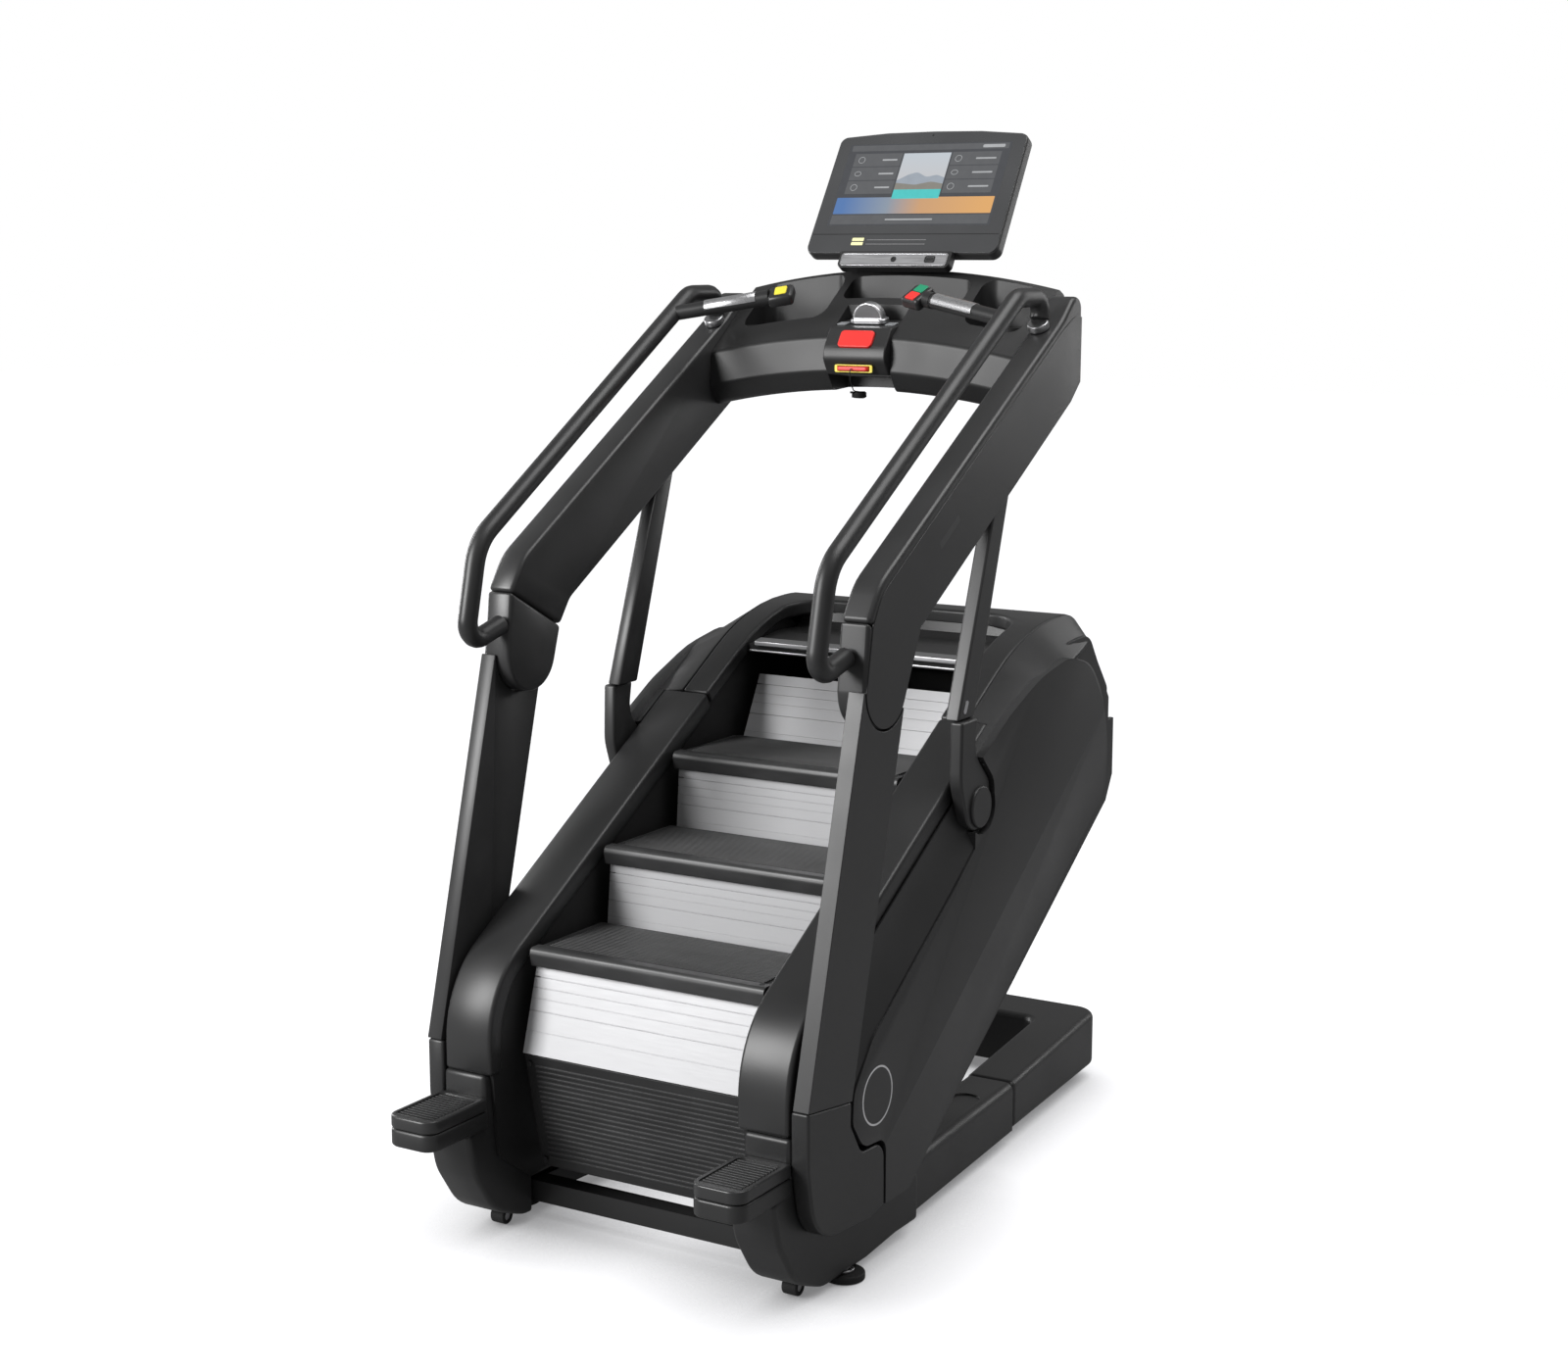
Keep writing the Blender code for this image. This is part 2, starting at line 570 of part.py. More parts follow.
def build_arms():
    """Inclined arms that turn up into the console, and the round joint covers below them."""
    upper = rounded([ARM_SEAM_FRONT, (0.150, 1.380), (0.935, 1.8506), (0.985, 1.895), (1.030, 1.915),
                     (1.030, 1.715), (0.985, 1.676), (0.310, 1.274), ARM_SEAM_REAR],
                    [0.0, 0.12, 0.20, 0.0, 0.026, 0.05, 0.05, 0.05, 0.0], 4)
    outline = upper + arc(KNUCKLE, KNUCKLE_R, 340, 178, 14)
    for tag, side in SIDES:
        arm = new_object(f"arm_{tag}", prism(outline, side * ARM_IN, side * ARM_OUT), GRAPHITE)
        soften(arm, 0.010, 1, 50.0)


def strut_boot_outline():
    """Side view of the curved boot at a strut's foot."""
    return rounded([(0.5040, 1.0553), (0.5750, 1.0553), (0.5630, 0.9850), (0.6680, 0.900), (0.6680, 0.800),
                    (0.5500, 0.800), (0.5000, 0.930)],
                   [0.0, 0.0, 0.06, 0.055, 0.052, 0.052, 0.10], 5)


def build_struts():
    """Rear struts from the body up to the arms, with their curved boots."""
    strut = [(0.5045, 1.0560), (0.655, 1.4720), (0.728, 1.5170), (0.5755, 1.0560)]
    boot = strut_boot_outline()
    for tag, side in SIDES:
        made = new_object(f"strut_{tag}", prism(strut, side * 0.4020, side * 0.4340), STEEL_PAINT)
        soften(made, 0.005, 1, 50.0)
        made = new_object(f"strut_boot_{tag}", prism(boot, side * 0.4150, side * 0.4440), CHARCOAL)
        soften(made, 0.006, 1, 50.0)


# ---------------------------------------------------------------- handrails and grips
GRIP_ROOT = Vector((RAIL_X, 0.733, 1.8597))
GRIP_TIP = Vector((0.196, 0.799, 1.8960))


def rail_path():
    """Handrail centre line in its own (y, z) plane, from the upper post down to the arm joint."""
    return open_path([(0.9092, 1.8555), (0.9240, 1.9010), (0.8000, 1.9010), (0.0210, 1.4200),
                      (-0.0280, 1.2130), (0.0860, 1.2428)], [0.034, 0.060, 0.110, 0.034], 4)


def build_handrails():
    """Bent tubes above the arms, each with an inward pulse grip."""
    for tag, side in SIDES:
        bm = tube([(side * RAIL_X, y, z) for y, z in rail_path()], TUBE_R, 10)
        rail = new_object(f"handrail_{tag}", bm, RUBBER, sharp=60.0)
        root = Vector((side * GRIP_ROOT.x, GRIP_ROOT.y, GRIP_ROOT.z))
        tip = Vector((side * GRIP_TIP.x, GRIP_TIP.y, GRIP_TIP.z))
        join(rail, tube([root + (tip - root) * t for t in (0.02, 0.5, 1.0)], 0.0165, 10))
        collar = drum((0.0, 0.0, 0.0), 0.0230, 0.016, "Z", 20)
        seat = Matrix.Translation((side * RAIL_X, 0.9034, 1.8421)) @ Matrix.Rotation(SLOPE, 4, "X")
        join(rail, moved(collar, seat))


def grip_frame(side, distance):
    """Placement whose X runs inwards along a pulse grip and whose Z is the grip's upper side."""
    root = Vector((side * GRIP_ROOT.x, GRIP_ROOT.y, GRIP_ROOT.z))
    tip = Vector((side * GRIP_TIP.x, GRIP_TIP.y, GRIP_TIP.z))
    along = (tip - root).normalized()
    up = Vector((0.0, -0.55, 0.83))
    up = (up - along * up.dot(along)).normalized()
    third = up.cross(along)
    place = Matrix((along, third, up)).transposed().to_4x4()
    place.translation = root + along * distance
    return place


# side, along the grip from and to, across it from and to, name, finish
BUTTON_CELLS = ((-1, 0.0160, 0.0440, -0.0150, 0.0150, "mode_button", YELLOW),
                (1, 0.0120, 0.0400, -0.0260, -0.0010, "go_button", GREEN),
                (1, 0.0120, 0.0400, 0.0010, 0.0260, "halt_button", RED))


def build_grips():
    """Thumb control housings at the grips' inner ends, and their buttons."""
    for tag, side in SIDES:
        length = (GRIP_TIP - GRIP_ROOT).length
        half, reach = (0.026, 0.056) if tag == "left" else (0.030, 0.052)
        shape = rounded([(-half, -0.016), (half, -0.016), (half, 0.013), (-half, 0.013)], 0.008, 3)
        bm = moved(prism(shape, 0.0008, reach), grip_frame(side, length))
        body = new_object(f"remote_{tag}", bm, CHARCOAL)
        soften(body, 0.006, 1, 50.0)
        for cell_side, start, end, near, far, _, _ in BUTTON_CELLS:
            if cell_side == side:
                cut(body, moved(block((start, near, 0.0075), (end, far, 0.030)), grip_frame(side, length)))
    for side, start, end, near, far, name, colour in BUTTON_CELLS:
        length = (GRIP_TIP - GRIP_ROOT).length
        place = grip_frame(side, length)
        low = (start + GAP, near + GAP, 0.0098)
        high = (end - GAP, far - GAP, 0.0148)
        origin = place @ Vector(((start + end) / 2, (near + far) / 2, 0.0098))
        key = new_object(name, moved(block(low, high), place), colour, origin)
        soften(key, 0.0012, 1, 50.0)


# ---------------------------------------------------------------- steps
def nose(index):
    """y, z of the nose of standing step 1, 2 or 3."""
    return (index - 1) * STEP_RUN, FIRST_NOSE_Z + (index - 1) * STEP_RISE


def tread_outline(y, z):
    """Side view of a tread: deep rounded nose and a thinner board behind it."""
    return rounded([(y, z), (y, z - TREAD_LIP), (y + 0.030, z - TREAD_LIP), (y + 0.034, z - 0.026),
                    (y + TREAD_DEPTH - 0.0145, z - 0.026), (y + TREAD_DEPTH - 0.0145, z)],
                   [0.010, 0.012, 0.0, 0.0, 0.002, 0.004], 4)


def riser_board(top, low, thickness, flange):
    """Side view of a riser: a flat board with a short flange folded back at its top."""
    top, low = Vector(top), Vector(low)
    down = (low - top).normalized()
    back = Vector((-down.y, down.x))
    if back.x < 0:
        back = -back
    corners = [top, low, low + back * thickness, top + back * thickness + down * 0.006,
               top + back * (thickness + flange) + down * 0.006, top + back * (thickness + flange)]
    return [tuple(corner) for corner in corners]


def build_steps():
    """Three standing steps, the top riser that leans back and the lowest tread folded down."""
    leans = {1: (0.052, 0.170), 2: (0.016, 0.150), 3: (0.012, 0.150)}
    for index in (1, 2, 3):
        y, z = nose(index)
        bm = prism(tread_outline(y, z), -HALF_TREAD, HALF_TREAD)
        new_object(f"tread_{index}", bm, RUBBER, (0.0, y, z))
        forward, height = leans[index]
        top = (y + 0.0200, z - TREAD_LIP - 0.003)
        low = (y + 0.0200 - forward, z - TREAD_LIP - 0.003 - height)
        board = riser_board(top, low, RISER_THICK, 0.012)
        bm = prism(board, -HALF_TREAD + 0.004, HALF_TREAD - 0.004)
        new_object(f"riser_{index}", bm, SILVER, (0.0, y, z))
    y, z = nose(3)
    foot = (y + TREAD_DEPTH + 0.0020, z - 0.045)
    board = riser_board((0.8860, 1.0400), foot, RISER_THICK, 0.010)
    new_object("riser_4", prism(board, -HALF_TREAD + 0.004, HALF_TREAD - 0.004), SILVER, (0.0, y, z))
    hinge, tip = Vector(KICK_HINGE), Vector((0.0290, 0.1280))
    down = (tip - hinge).normalized()
    back = Vector((-down.y, down.x))
    corners = [hinge, tip, tip + back * 0.040, tip + back * 0.040 - down * 0.030,
               tip + back * 0.026 - down * 0.034, hinge + back * 0.026]
    outline = rounded([tuple(c) for c in corners], [0.004, 0.012, 0.010, 0.0, 0.0, 0.002], 4)
    new_object("kick_tread", prism(outline, -HALF_TREAD, HALF_TREAD), RUBBER, (0.0, *KICK_HINGE))


KICK_HINGE = (-0.0260, 0.3830)


# ---------------------------------------------------------------- drive
def loop_band(centre_a, radius_a, centre_b, radius_b, x_a, x_b, thickness, bm=None):
    """Closed belt or chain around two wheels."""
    a, b = Vector(centre_a), Vector(centre_b)
    reach = (b - a).length
    heading = math.degrees(math.atan2(b.y - a.y, b.x - a.x))
    wrap = math.degrees(math.acos((radius_a - radius_b) / reach))
    inner = arc(a, radius_a, heading + wrap, heading + 360 - wrap, 12) \
        + arc(b, radius_b, heading - wrap, heading + wrap, 8)
    outer = arc(a, radius_a + thickness, heading + wrap, heading + 360 - wrap, 12) \
        + arc(b, radius_b + thickness, heading - wrap, heading + wrap, 8)
    bm = bm or bmesh.new()
    rings = []
    for points, x in ((outer, x_a), (outer, x_b), (inner, x_b), (inner, x_a)):
        rings.append([bm.verts.new((x, y, z)) for y, z in points])
    count = len(outer)
    for ring, following in zip(rings, rings[1:] + rings[:1]):
        for i in range(count):
            j = (i + 1) % count
            bm.faces.new((ring[i], ring[j], following[j], following[i]))
    return bm


def build_drive():
    """Shafts with sprockets, step chains, and the belt that turns the brake."""
    for name, (y, z), pulley in (("upper_shaft", UPPER_SHAFT, True), ("lower_shaft", LOWER_SHAFT, False)):
        shaft = new_object(name, drum((0.0, y, z), SHAFT_R, 0.612, "X", 20), BARE_STEEL, (0.0, y, z))
        for _, side in SIDES:
            teeth = 12
            ring = [(y + r * math.cos(a), z + r * math.sin(a))
                    for i in range(teeth) for r, a in
                    ((SPROCKET_R, 2 * math.pi * (i + 0.2) / teeth),
                     (SPROCKET_R, 2 * math.pi * (i + 0.45) / teeth),
                     (SPROCKET_R - 0.008, 2 * math.pi * (i + 0.7) / teeth),
                     (SPROCKET_R - 0.008, 2 * math.pi * (i + 0.95) / teeth))]
            join(shaft, prism(ring, side * 0.2865, side * 0.2925))
        if pulley:
            join(shaft, drum(((PULLEY_X[0] + PULLEY_X[1]) / 2, y, z), SHAFT_PULLEY_R,
                             PULLEY_X[1] - PULLEY_X[0], "X", 32))
    for tag, side in SIDES:
        chain = loop_band(LOWER_SHAFT, SPROCKET_R + 0.0022, UPPER_SHAFT, SPROCKET_R + 0.0022, side * 0.2840,
                          side * 0.2955, 0.012)
        new_object(f"step_chain_{tag}", chain, BARE_STEEL)
    middle = (PULLEY_X[0] + PULLEY_X[1]) / 2
    belt = loop_band(UPPER_SHAFT, SHAFT_PULLEY_R + 0.0016, BRAKE_SHAFT, BRAKE_PULLEY_R + 0.0016,
                     PULLEY_X[0] + 0.002, PULLEY_X[1] - 0.002, 0.003)
    new_object("drive_belt", belt, RUBBER)
    y, z = BRAKE_SHAFT
    brake = new_object("brake_unit", drum((0.0, y, z), 0.085, 0.190, "X", 28), STEEL_PAINT)
    join(brake, block((-0.2985, y - 0.030, z - 0.100), (0.2985, y + 0.030, z - 0.070)))
    cut(brake, drum((0.10, y, z), 0.012, 0.120, "X", 16))
    bm = drum((middle, y, z), BRAKE_PULLEY_R, PULLEY_X[1] - PULLEY_X[0], "X", 24)
    rotor = new_object("brake_pulley", bm, BARE_STEEL, (middle, y, z))
    join(rotor, drum((0.100, y, z), 0.009, 0.070, "X", 16))


def build_wheels():
    """Transport wheels under the front of both lower shells."""
    for tag, side in SIDES:
        centre = (side * WHEEL_CENTRE[0], WHEEL_CENTRE[1], WHEEL_CENTRE[2])
        wheel = new_object(f"transport_wheel_{tag}", drum(centre, WHEEL_R, 0.022, "X", 20), RUBBER, centre)
        join(wheel, drum(centre, 0.0040, 0.034, "X", 12))


# ---------------------------------------------------------------- console
CONSOLE_OUTLINE = [(0.850, 1.738), (0.856, 1.812), (0.950, 1.885), (1.050, 1.958), (1.078, 1.944),
                   (1.076, 1.790), (1.000, 1.702), (0.880, 1.694)]
CONSOLE_ARCH = 0.042
CONSOLE_HALF = ARM_IN - GAP


def build_console():
    """Arched tray between the arms with two bottle pockets, a shelf and a bay for the control pod."""
    bm = bmesh.new()
    columns = 12
    rings = []
    for i in range(columns + 1):
        x = CONSOLE_HALF * (2 * i / columns - 1)
        drop = CONSOLE_ARCH * (x / CONSOLE_HALF) ** 2
        rings.append([bm.verts.new((x, y, z - drop)) for y, z in CONSOLE_OUTLINE])
    count = len(CONSOLE_OUTLINE)
    for ring, following in zip(rings, rings[1:]):
        for i in range(count):
            j = (i + 1) % count
            bm.faces.new((ring[i], ring[j], following[j], following[i]))
    bm.faces.new(rings[0])
    bm.faces.new(rings[-1])
    console = new_object("console", bm, CHARCOAL)
    soften(console, 0.006, 1, 30.0)
    cut(console, block((-POD_HALF - 0.0006, 0.800, 1.600), (POD_HALF + 0.0006, 0.9450, 2.050)))
    for x_low, x_high, low in ((-0.345, -0.130, 1.770), (0.215, 0.355, 1.775)):
        pocket = rounded([(x_low, 0.915), (x_high, 0.915), (x_high, 1.040), (x_low, 1.040)], 0.030, 4)
        cut(console, slab(pocket, low, 2.050))
    shelf = rounded([(-0.110, 0.9640), (0.190, 0.9640), (0.190, 1.030), (-0.110, 1.030)], 0.020, 4)
    cut(console, slab(shelf, 1.850, 2.050))
    return console


def build_pod():
    """Control pod with its knob, stop paddle and safety key."""
    outline = rounded([(0.8480, 1.7300), (0.8280, 1.7620), (0.8290, 1.7850), (0.8600, 1.8320),
                       (0.9440, 1.8480), (0.9440, 1.7200)], [0.010, 0.025, 0.045, 0.008, 0.004, 0.004], 4)
    pod = new_object("control_pod", prism(outline, -POD_HALF, POD_HALF), CHARCOAL)
    soften(pod, 0.006, 1, 50.0)
    cut(pod, moved(block((-0.0425, -0.0215, -0.0080), (0.0425, 0.0215, 0.030)), PADDLE_PLACE))
    cut(pod, block((-0.0400, 0.800, 1.7385), (0.0400, 0.870, 1.7505)))
    key = new_object("stop_paddle", moved(block((-0.0420, -0.0210, -0.0040), (0.0420, 0.0210, 0.0050)),
                                          PADDLE_PLACE), RED, PADDLE_PLACE.translation)
    soften(key, 0.0015, 1, 50.0)
    flange = rounded([(-0.041, -0.0180), (0.041, -0.0180), (0.041, 0.0180), (-0.041, 0.0180)], 0.014, 4)
    knob = new_object("speed_knob", moved(slab(flange, 0.0006, 0.0120), KNOB_PLACE), SILVER,
                      KNOB_PLACE.translation)
    dome = [(x, 0.0100 + 0.0340 * math.sqrt(max(0.0, 1 - (x / 0.0340) ** 2)))
            for x in [0.0340 * math.cos(math.pi * i / 14) for i in range(15)]]
    bm = bmesh.new()
    front = [bm.verts.new((x, -0.0110, z)) for x, z in dome]
    back = [bm.verts.new((x, 0.0110, z)) for x, z in dome]
    bm.faces.new(front)
    bm.faces.new(back)
    for i in range(len(dome)):
        j = (i + 1) % len(dome)
        bm.faces.new((front[i], front[j], back[j], back[i]))
    join(knob, moved(bm, KNOB_PLACE))
    soften(knob, 0.002, 1, 50.0)


PADDLE_TILT = math.atan2(0.0310, 0.0470)
PADDLE_PLACE = Matrix.Translation((0.0, 0.8435, 1.8070)) @ Matrix.Rotation(math.pi / 2 - PADDLE_TILT, 4, "X")
KNOB_TILT = math.atan2(0.0160, 0.0840)
KNOB_PLACE = Matrix.Translation((0.0, 0.9040, 1.8406)) @ Matrix.Rotation(KNOB_TILT, 4, "X")


# ---------------------------------------------------------------- safety key and cord
CORD_R = 0.00125
KEY_FRONT = (0.0, 0.8210, 1.7445)
COIL_CENTRE = (0.0, 0.8560, 1.6870)
COIL_MEAN_R, COIL_SECTION_R = 0.0140, 0.0050
CORD_ROUTE = [(0.0, 0.8205, 1.7440), (0.0006, 0.8150, 1.7425), (0.0018, 0.8112, 1.7370),
              (0.0022, 0.8112, 1.7290), (0.0016, 0.8142, 1.7190), (0.0008, 0.8200, 1.7100),
              (0.0002, 0.8270, 1.7020), (0.0, 0.8335, 1.6965)]


def smooth_route(points, spacing):
    """Evenly spaced points on a Catmull-Rom curve through the route's own points."""
    points = [Vector(p) for p in points]
    fine = []
    for index in range(len(points) - 1):
        before = points[max(index - 1, 0)]
        start, end = points[index], points[index + 1]
        after = points[min(index + 2, len(points) - 1)]
        for step in range(12):
            t = step / 12
            square = 2 * before - 5 * start + 4 * end - after
            cube = 3 * start - 3 * end + after - before
            fine.append(0.5 * (2 * start + (end - before) * t + square * t * t + cube * t ** 3))
    fine.append(points[-1])
    even, travelled = [fine[0]], 0.0
    for last, here in zip(fine, fine[1:]):
        travelled += (here - last).length
        if travelled >= spacing:
            even.append(here)
            travelled = 0.0
    if (even[-1] - fine[-1]).length > spacing / 2:
        even.append(fine[-1])
    else:
        even[-1] = fine[-1]
    return even


def build_key():
    """Magnetic safety key in its slot, the cord on it, the cord's coil and its spring clip."""
    key = new_object("safety_key", block((-0.0385, 0.8215, 1.7400), (0.0385, 0.8660, 1.7490)), RED,
                     (0.0, 0.8215, 1.7445))
    soften(key, 0.0015, 1, 50.0)
    route = smooth_route(CORD_ROUTE, 0.006)
    curve = bpy.data.curves.new("safety_cord", "CURVE")
    curve.dimensions = "3D"
    curve.bevel_depth = CORD_R
    curve.bevel_resolution = 2
    curve.use_fill_caps = True
    spline = curve.splines.new("POLY")
    spline.points.add(len(route) - 1)
    for point, place in zip(spline.points, route):
        point.co = (*place, 1.0)
    curve.materials.append(BLACK)
    cord = bpy.data.objects.new("safety_cord", curve)
    bpy.context.scene.collection.objects.link(cord)
    cord.parent = machine
    coil = bmesh.new()
    turns, sides = 20, 10
    grid = []
    for i in range(turns):
        a = 2 * math.pi * i / turns
        out = Vector((math.cos(a), math.sin(a), 0.0))
        ring = []
        for j in range(sides):
            b = 2 * math.pi * j / sides
            spot = Vector(COIL_CENTRE) + out * (COIL_MEAN_R + COIL_SECTION_R * math.cos(b))
            spot.z += 0.0090 * math.sin(b)
            ring.append(coil.verts.new(spot))
        grid.append(ring)
    for i in range(turns):
        for j in range(sides):
            coil.faces.new((grid[i][j], grid[(i + 1) % turns][j], grid[(i + 1) % turns][(j + 1) % sides],
                            grid[i][(j + 1) % sides]))
    new_object("cord_coil", coil, BLACK)


# ---------------------------------------------------------------- display
def display_place():
    """Placement whose X is across the screen, Y up along it and Z out of it towards the user."""
    turn = Matrix.Rotation(math.pi / 2 - DISPLAY_TILT, 4, "X")
    return Matrix.Translation(DISPLAY_FOOT) @ turn


def build_display():
    """Tilted display with a slightly arched top, its port bar and the neck that carries both."""
    half = DISPLAY_WIDTH / 2
    arch = 0.012
    top = DISPLAY_HEIGHT
    corners = [(-half, 0.0), (half, 0.0), (half - 0.003, top - arch), (half * 0.5, top - 0.002), (0.0, top),
               (-half * 0.5, top - 0.002), (-half + 0.003, top - arch)]
    outline = rounded(corners, [0.020, 0.020, 0.020, 0.0, 0.0, 0.0, 0.020], 4)
    display = new_object("display", moved(slab(outline, -DISPLAY_THICK, 0.0), display_place()), GLASS)
    soften(display, 0.005, 1, 50.0)
    bar = rounded([(-0.141, -0.043), (0.141, -0.043), (0.141, -0.0006), (-0.141, -0.0006)],
                  [0.012, 0.012, 0.002, 0.002], 4)
    mount = new_object("display_mount", prism(NECK_OUTLINE, -0.070, 0.070), CHARCOAL)
    join(mount, moved(slab(bar, -0.012, 0.012), display_place()))
    join(mount, moved(block((-0.050, -0.012, -0.045), (0.050, -0.003, -0.006)), display_place()))


NECK_OUTLINE = [(1.0560, 1.9660), (1.0792, 1.9530), (1.0792, 1.8800), (1.1050, 1.8900), (1.1700, 2.1000),
                (1.1362, 2.1016), (1.1166, 2.0694), (1.0720, 1.9900)]


# ---------------------------------------------------------------- assembly
build_base_frame()
build_base_covers()
build_lower_shells()
build_entry_pads()
build_levelling_feet()
build_shrouds()
build_top_cover()
build_step_frame()
build_side_panels()
new_object("belly_cover", build_belly(), CHARCOAL)
build_uprights()
build_arms()
build_struts()
build_handrails()
build_grips()
build_steps()
build_drive()
build_wheels()
build_console()
build_pod()
build_key()
build_display()
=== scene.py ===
# %% [markdown]
# # A stair climber, dressed
# The frame of this machine comes from its measured model: sixty solid pieces, each in its place,
# joined where the real ones move.  This lesson gives every one of them the shape and the surface
# of the finished machine.  The first cell loads the frame.  No piece may stand outside it.  All
# lengths are metres; Z is up and the user faces +Y.

# %% Load the frame
import json
import math

import bpy
from mathutils import Matrix, Vector

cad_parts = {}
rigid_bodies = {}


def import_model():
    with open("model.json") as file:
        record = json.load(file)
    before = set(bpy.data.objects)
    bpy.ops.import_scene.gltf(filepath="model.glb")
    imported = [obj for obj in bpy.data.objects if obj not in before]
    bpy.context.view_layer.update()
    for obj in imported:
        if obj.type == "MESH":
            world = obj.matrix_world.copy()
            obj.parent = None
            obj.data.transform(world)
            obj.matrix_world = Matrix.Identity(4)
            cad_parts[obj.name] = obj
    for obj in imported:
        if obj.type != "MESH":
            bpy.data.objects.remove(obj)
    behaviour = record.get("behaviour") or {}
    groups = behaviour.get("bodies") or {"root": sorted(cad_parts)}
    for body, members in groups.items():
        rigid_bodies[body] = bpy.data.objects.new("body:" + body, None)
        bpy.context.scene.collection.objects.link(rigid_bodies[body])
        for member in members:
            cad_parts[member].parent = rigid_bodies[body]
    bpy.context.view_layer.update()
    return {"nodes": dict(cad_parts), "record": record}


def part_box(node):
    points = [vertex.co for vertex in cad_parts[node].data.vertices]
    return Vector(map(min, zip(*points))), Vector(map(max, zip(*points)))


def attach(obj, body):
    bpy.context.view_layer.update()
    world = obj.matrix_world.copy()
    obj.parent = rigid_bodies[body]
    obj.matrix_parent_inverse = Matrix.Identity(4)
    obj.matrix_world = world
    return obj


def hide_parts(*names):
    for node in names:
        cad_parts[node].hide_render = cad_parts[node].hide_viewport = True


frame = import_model()

# %% [markdown]
# ## Camera, floor and light
# A gym machine is shown in a white studio: a pale floor without a horizon, one very large soft
# lamp in front and to the left, a weaker one overhead, another at the left side, and a strip
# behind that draws a thin bright line along the tubes.  Large lamps were chosen because dark
# plastic shows mostly what it reflects, and a small lamp would leave it black with one hard spot.

# %% Camera
camera_data = bpy.data.cameras.new("studio_camera")
camera_data.lens = 57.9
camera_data.sensor_width = 36.0
camera = bpy.data.objects.new("studio_camera", camera_data)
camera.location = (2.734, -4.589, 2.001)
camera.rotation_euler = (math.radians(90.0 - 9.83), 0.0, math.radians(31.21))
bpy.context.scene.collection.objects.link(camera)
bpy.context.scene.camera = camera
bpy.context.scene.view_settings.view_transform = "Standard"


# %% Lamps
def soft_lamp(name, place, target, size, power, colour=(1.0, 1.0, 1.0)):
    """A rectangular lamp that faces its target."""
    data = bpy.data.lights.new(name, "AREA")
    data.shape = "RECTANGLE"
    data.size, data.size_y = size
    data.energy = power
    data.color = colour
    lamp = bpy.data.objects.new(name, data)
    lamp.location = place
    aim = Vector(target) - Vector(place)
    lamp.rotation_euler = aim.to_track_quat("-Z", "Y").to_euler()
    bpy.context.scene.collection.objects.link(lamp)
    return lamp


soft_lamp("key_front_left", (-2.6, -4.6, 3.1), (0.0, -0.2, 1.1), (2.0, 2.6), 335.0)
soft_lamp("overhead", (1.3, 0.5, 4.8), (0.0, 0.0, 1.0), (2.4, 2.4), 90.0)
soft_lamp("side_left", (-4.4, 0.4, 2.0), (0.0, 0.0, 1.2), (1.4, 3.0), 90.0)
soft_lamp("back_strip", (1.8, 4.4, 2.6), (0.0, 0.4, 1.2), (0.8, 2.6), 26.0)

# %% White surroundings
# What the camera sees behind the machine is white; as a light it is weaker, so that the lamps
# still model the shapes.
world = bpy.data.worlds.new("white_studio")
world.use_nodes = True
sky = world.node_tree
soft_white = sky.nodes["Background"]
soft_white.inputs["Color"].default_value = (1.0, 1.0, 1.0, 1.0)
soft_white.inputs["Strength"].default_value = 0.26
backdrop = sky.nodes.new("ShaderNodeBackground")
backdrop.inputs["Color"].default_value = (1.0, 1.0, 1.0, 1.0)
backdrop.inputs["Strength"].default_value = 1.0
ray_kind = sky.nodes.new("ShaderNodeLightPath")
either = sky.nodes.new("ShaderNodeMixShader")
sky.links.new(ray_kind.outputs["Is Camera Ray"], either.inputs["Fac"])
sky.links.new(soft_white.outputs["Background"], either.inputs[1])
sky.links.new(backdrop.outputs["Background"], either.inputs[2])
sky.links.new(either.outputs["Shader"], sky.nodes["World Output"].inputs["Surface"])
bpy.context.scene.world = world

# %% [markdown]
# ## Working by hand
# Almost every cover of this machine is a plate whose side view matters.  So the outline is drawn
# first, as a modeller would: one vertex is put down, it is extruded from corner to corner, the
# loop is filled, and the face is extruded to the plate's thickness.  Rounded corners are short
# arcs, worked out from the two edges that meet there.


# %% Helpers for a clean start
def deselect():
    """Nothing selected and nothing in edit mode."""
    if bpy.context.object and bpy.context.object.mode != "OBJECT":
        bpy.ops.object.mode_set(mode="OBJECT")
    bpy.ops.object.select_all(action="DESELECT")


def pick(obj):
    """Only this object selected and active."""
    deselect()
    obj.select_set(True)
    bpy.context.view_layer.objects.active = obj


def settle(obj):
    """Put an object's place into its mesh."""
    pick(obj)
    bpy.ops.object.transform_apply(location=True, rotation=True, scale=True)
    return obj


NOSE_Y = -0.615              # the first step's nose in the frame; side views are drawn from it


# %% Arcs and outlines
def rounded(corners, radii, steps=8):
    """Corners of a side view, each replaced by an arc of its own radius."""
    outline = []
    for index, corner in enumerate(corners):
        radius = radii[index] if isinstance(radii, (list, tuple)) else radii
        here = Vector(corner)
        to_last = (Vector(corners[index - 1]) - here).normalized()
        to_next = (Vector(corners[(index + 1) % len(corners)]) - here).normalized()
        half = to_last.angle(to_next) / 2
        if radius <= 0.0 or half > math.radians(89.0):
            outline.append((here.x, here.y))
            continue
        centre = here + (to_last + to_next).normalized() * radius / math.sin(half)
        spoke = here + to_last * radius / math.tan(half) - centre
        sweep = math.pi - 2.0 * half
        turn = 1.0 if to_last.x * to_next.y - to_last.y * to_next.x < 0.0 else -1.0
        pieces = max(2, math.ceil(steps * sweep / (math.pi / 2.0)))
        for step in range(pieces + 1):
            ray = Matrix.Rotation(turn * sweep * step / pieces, 2) @ spoke
            outline.append((centre.x + ray.x, centre.y + ray.y))
    return outline


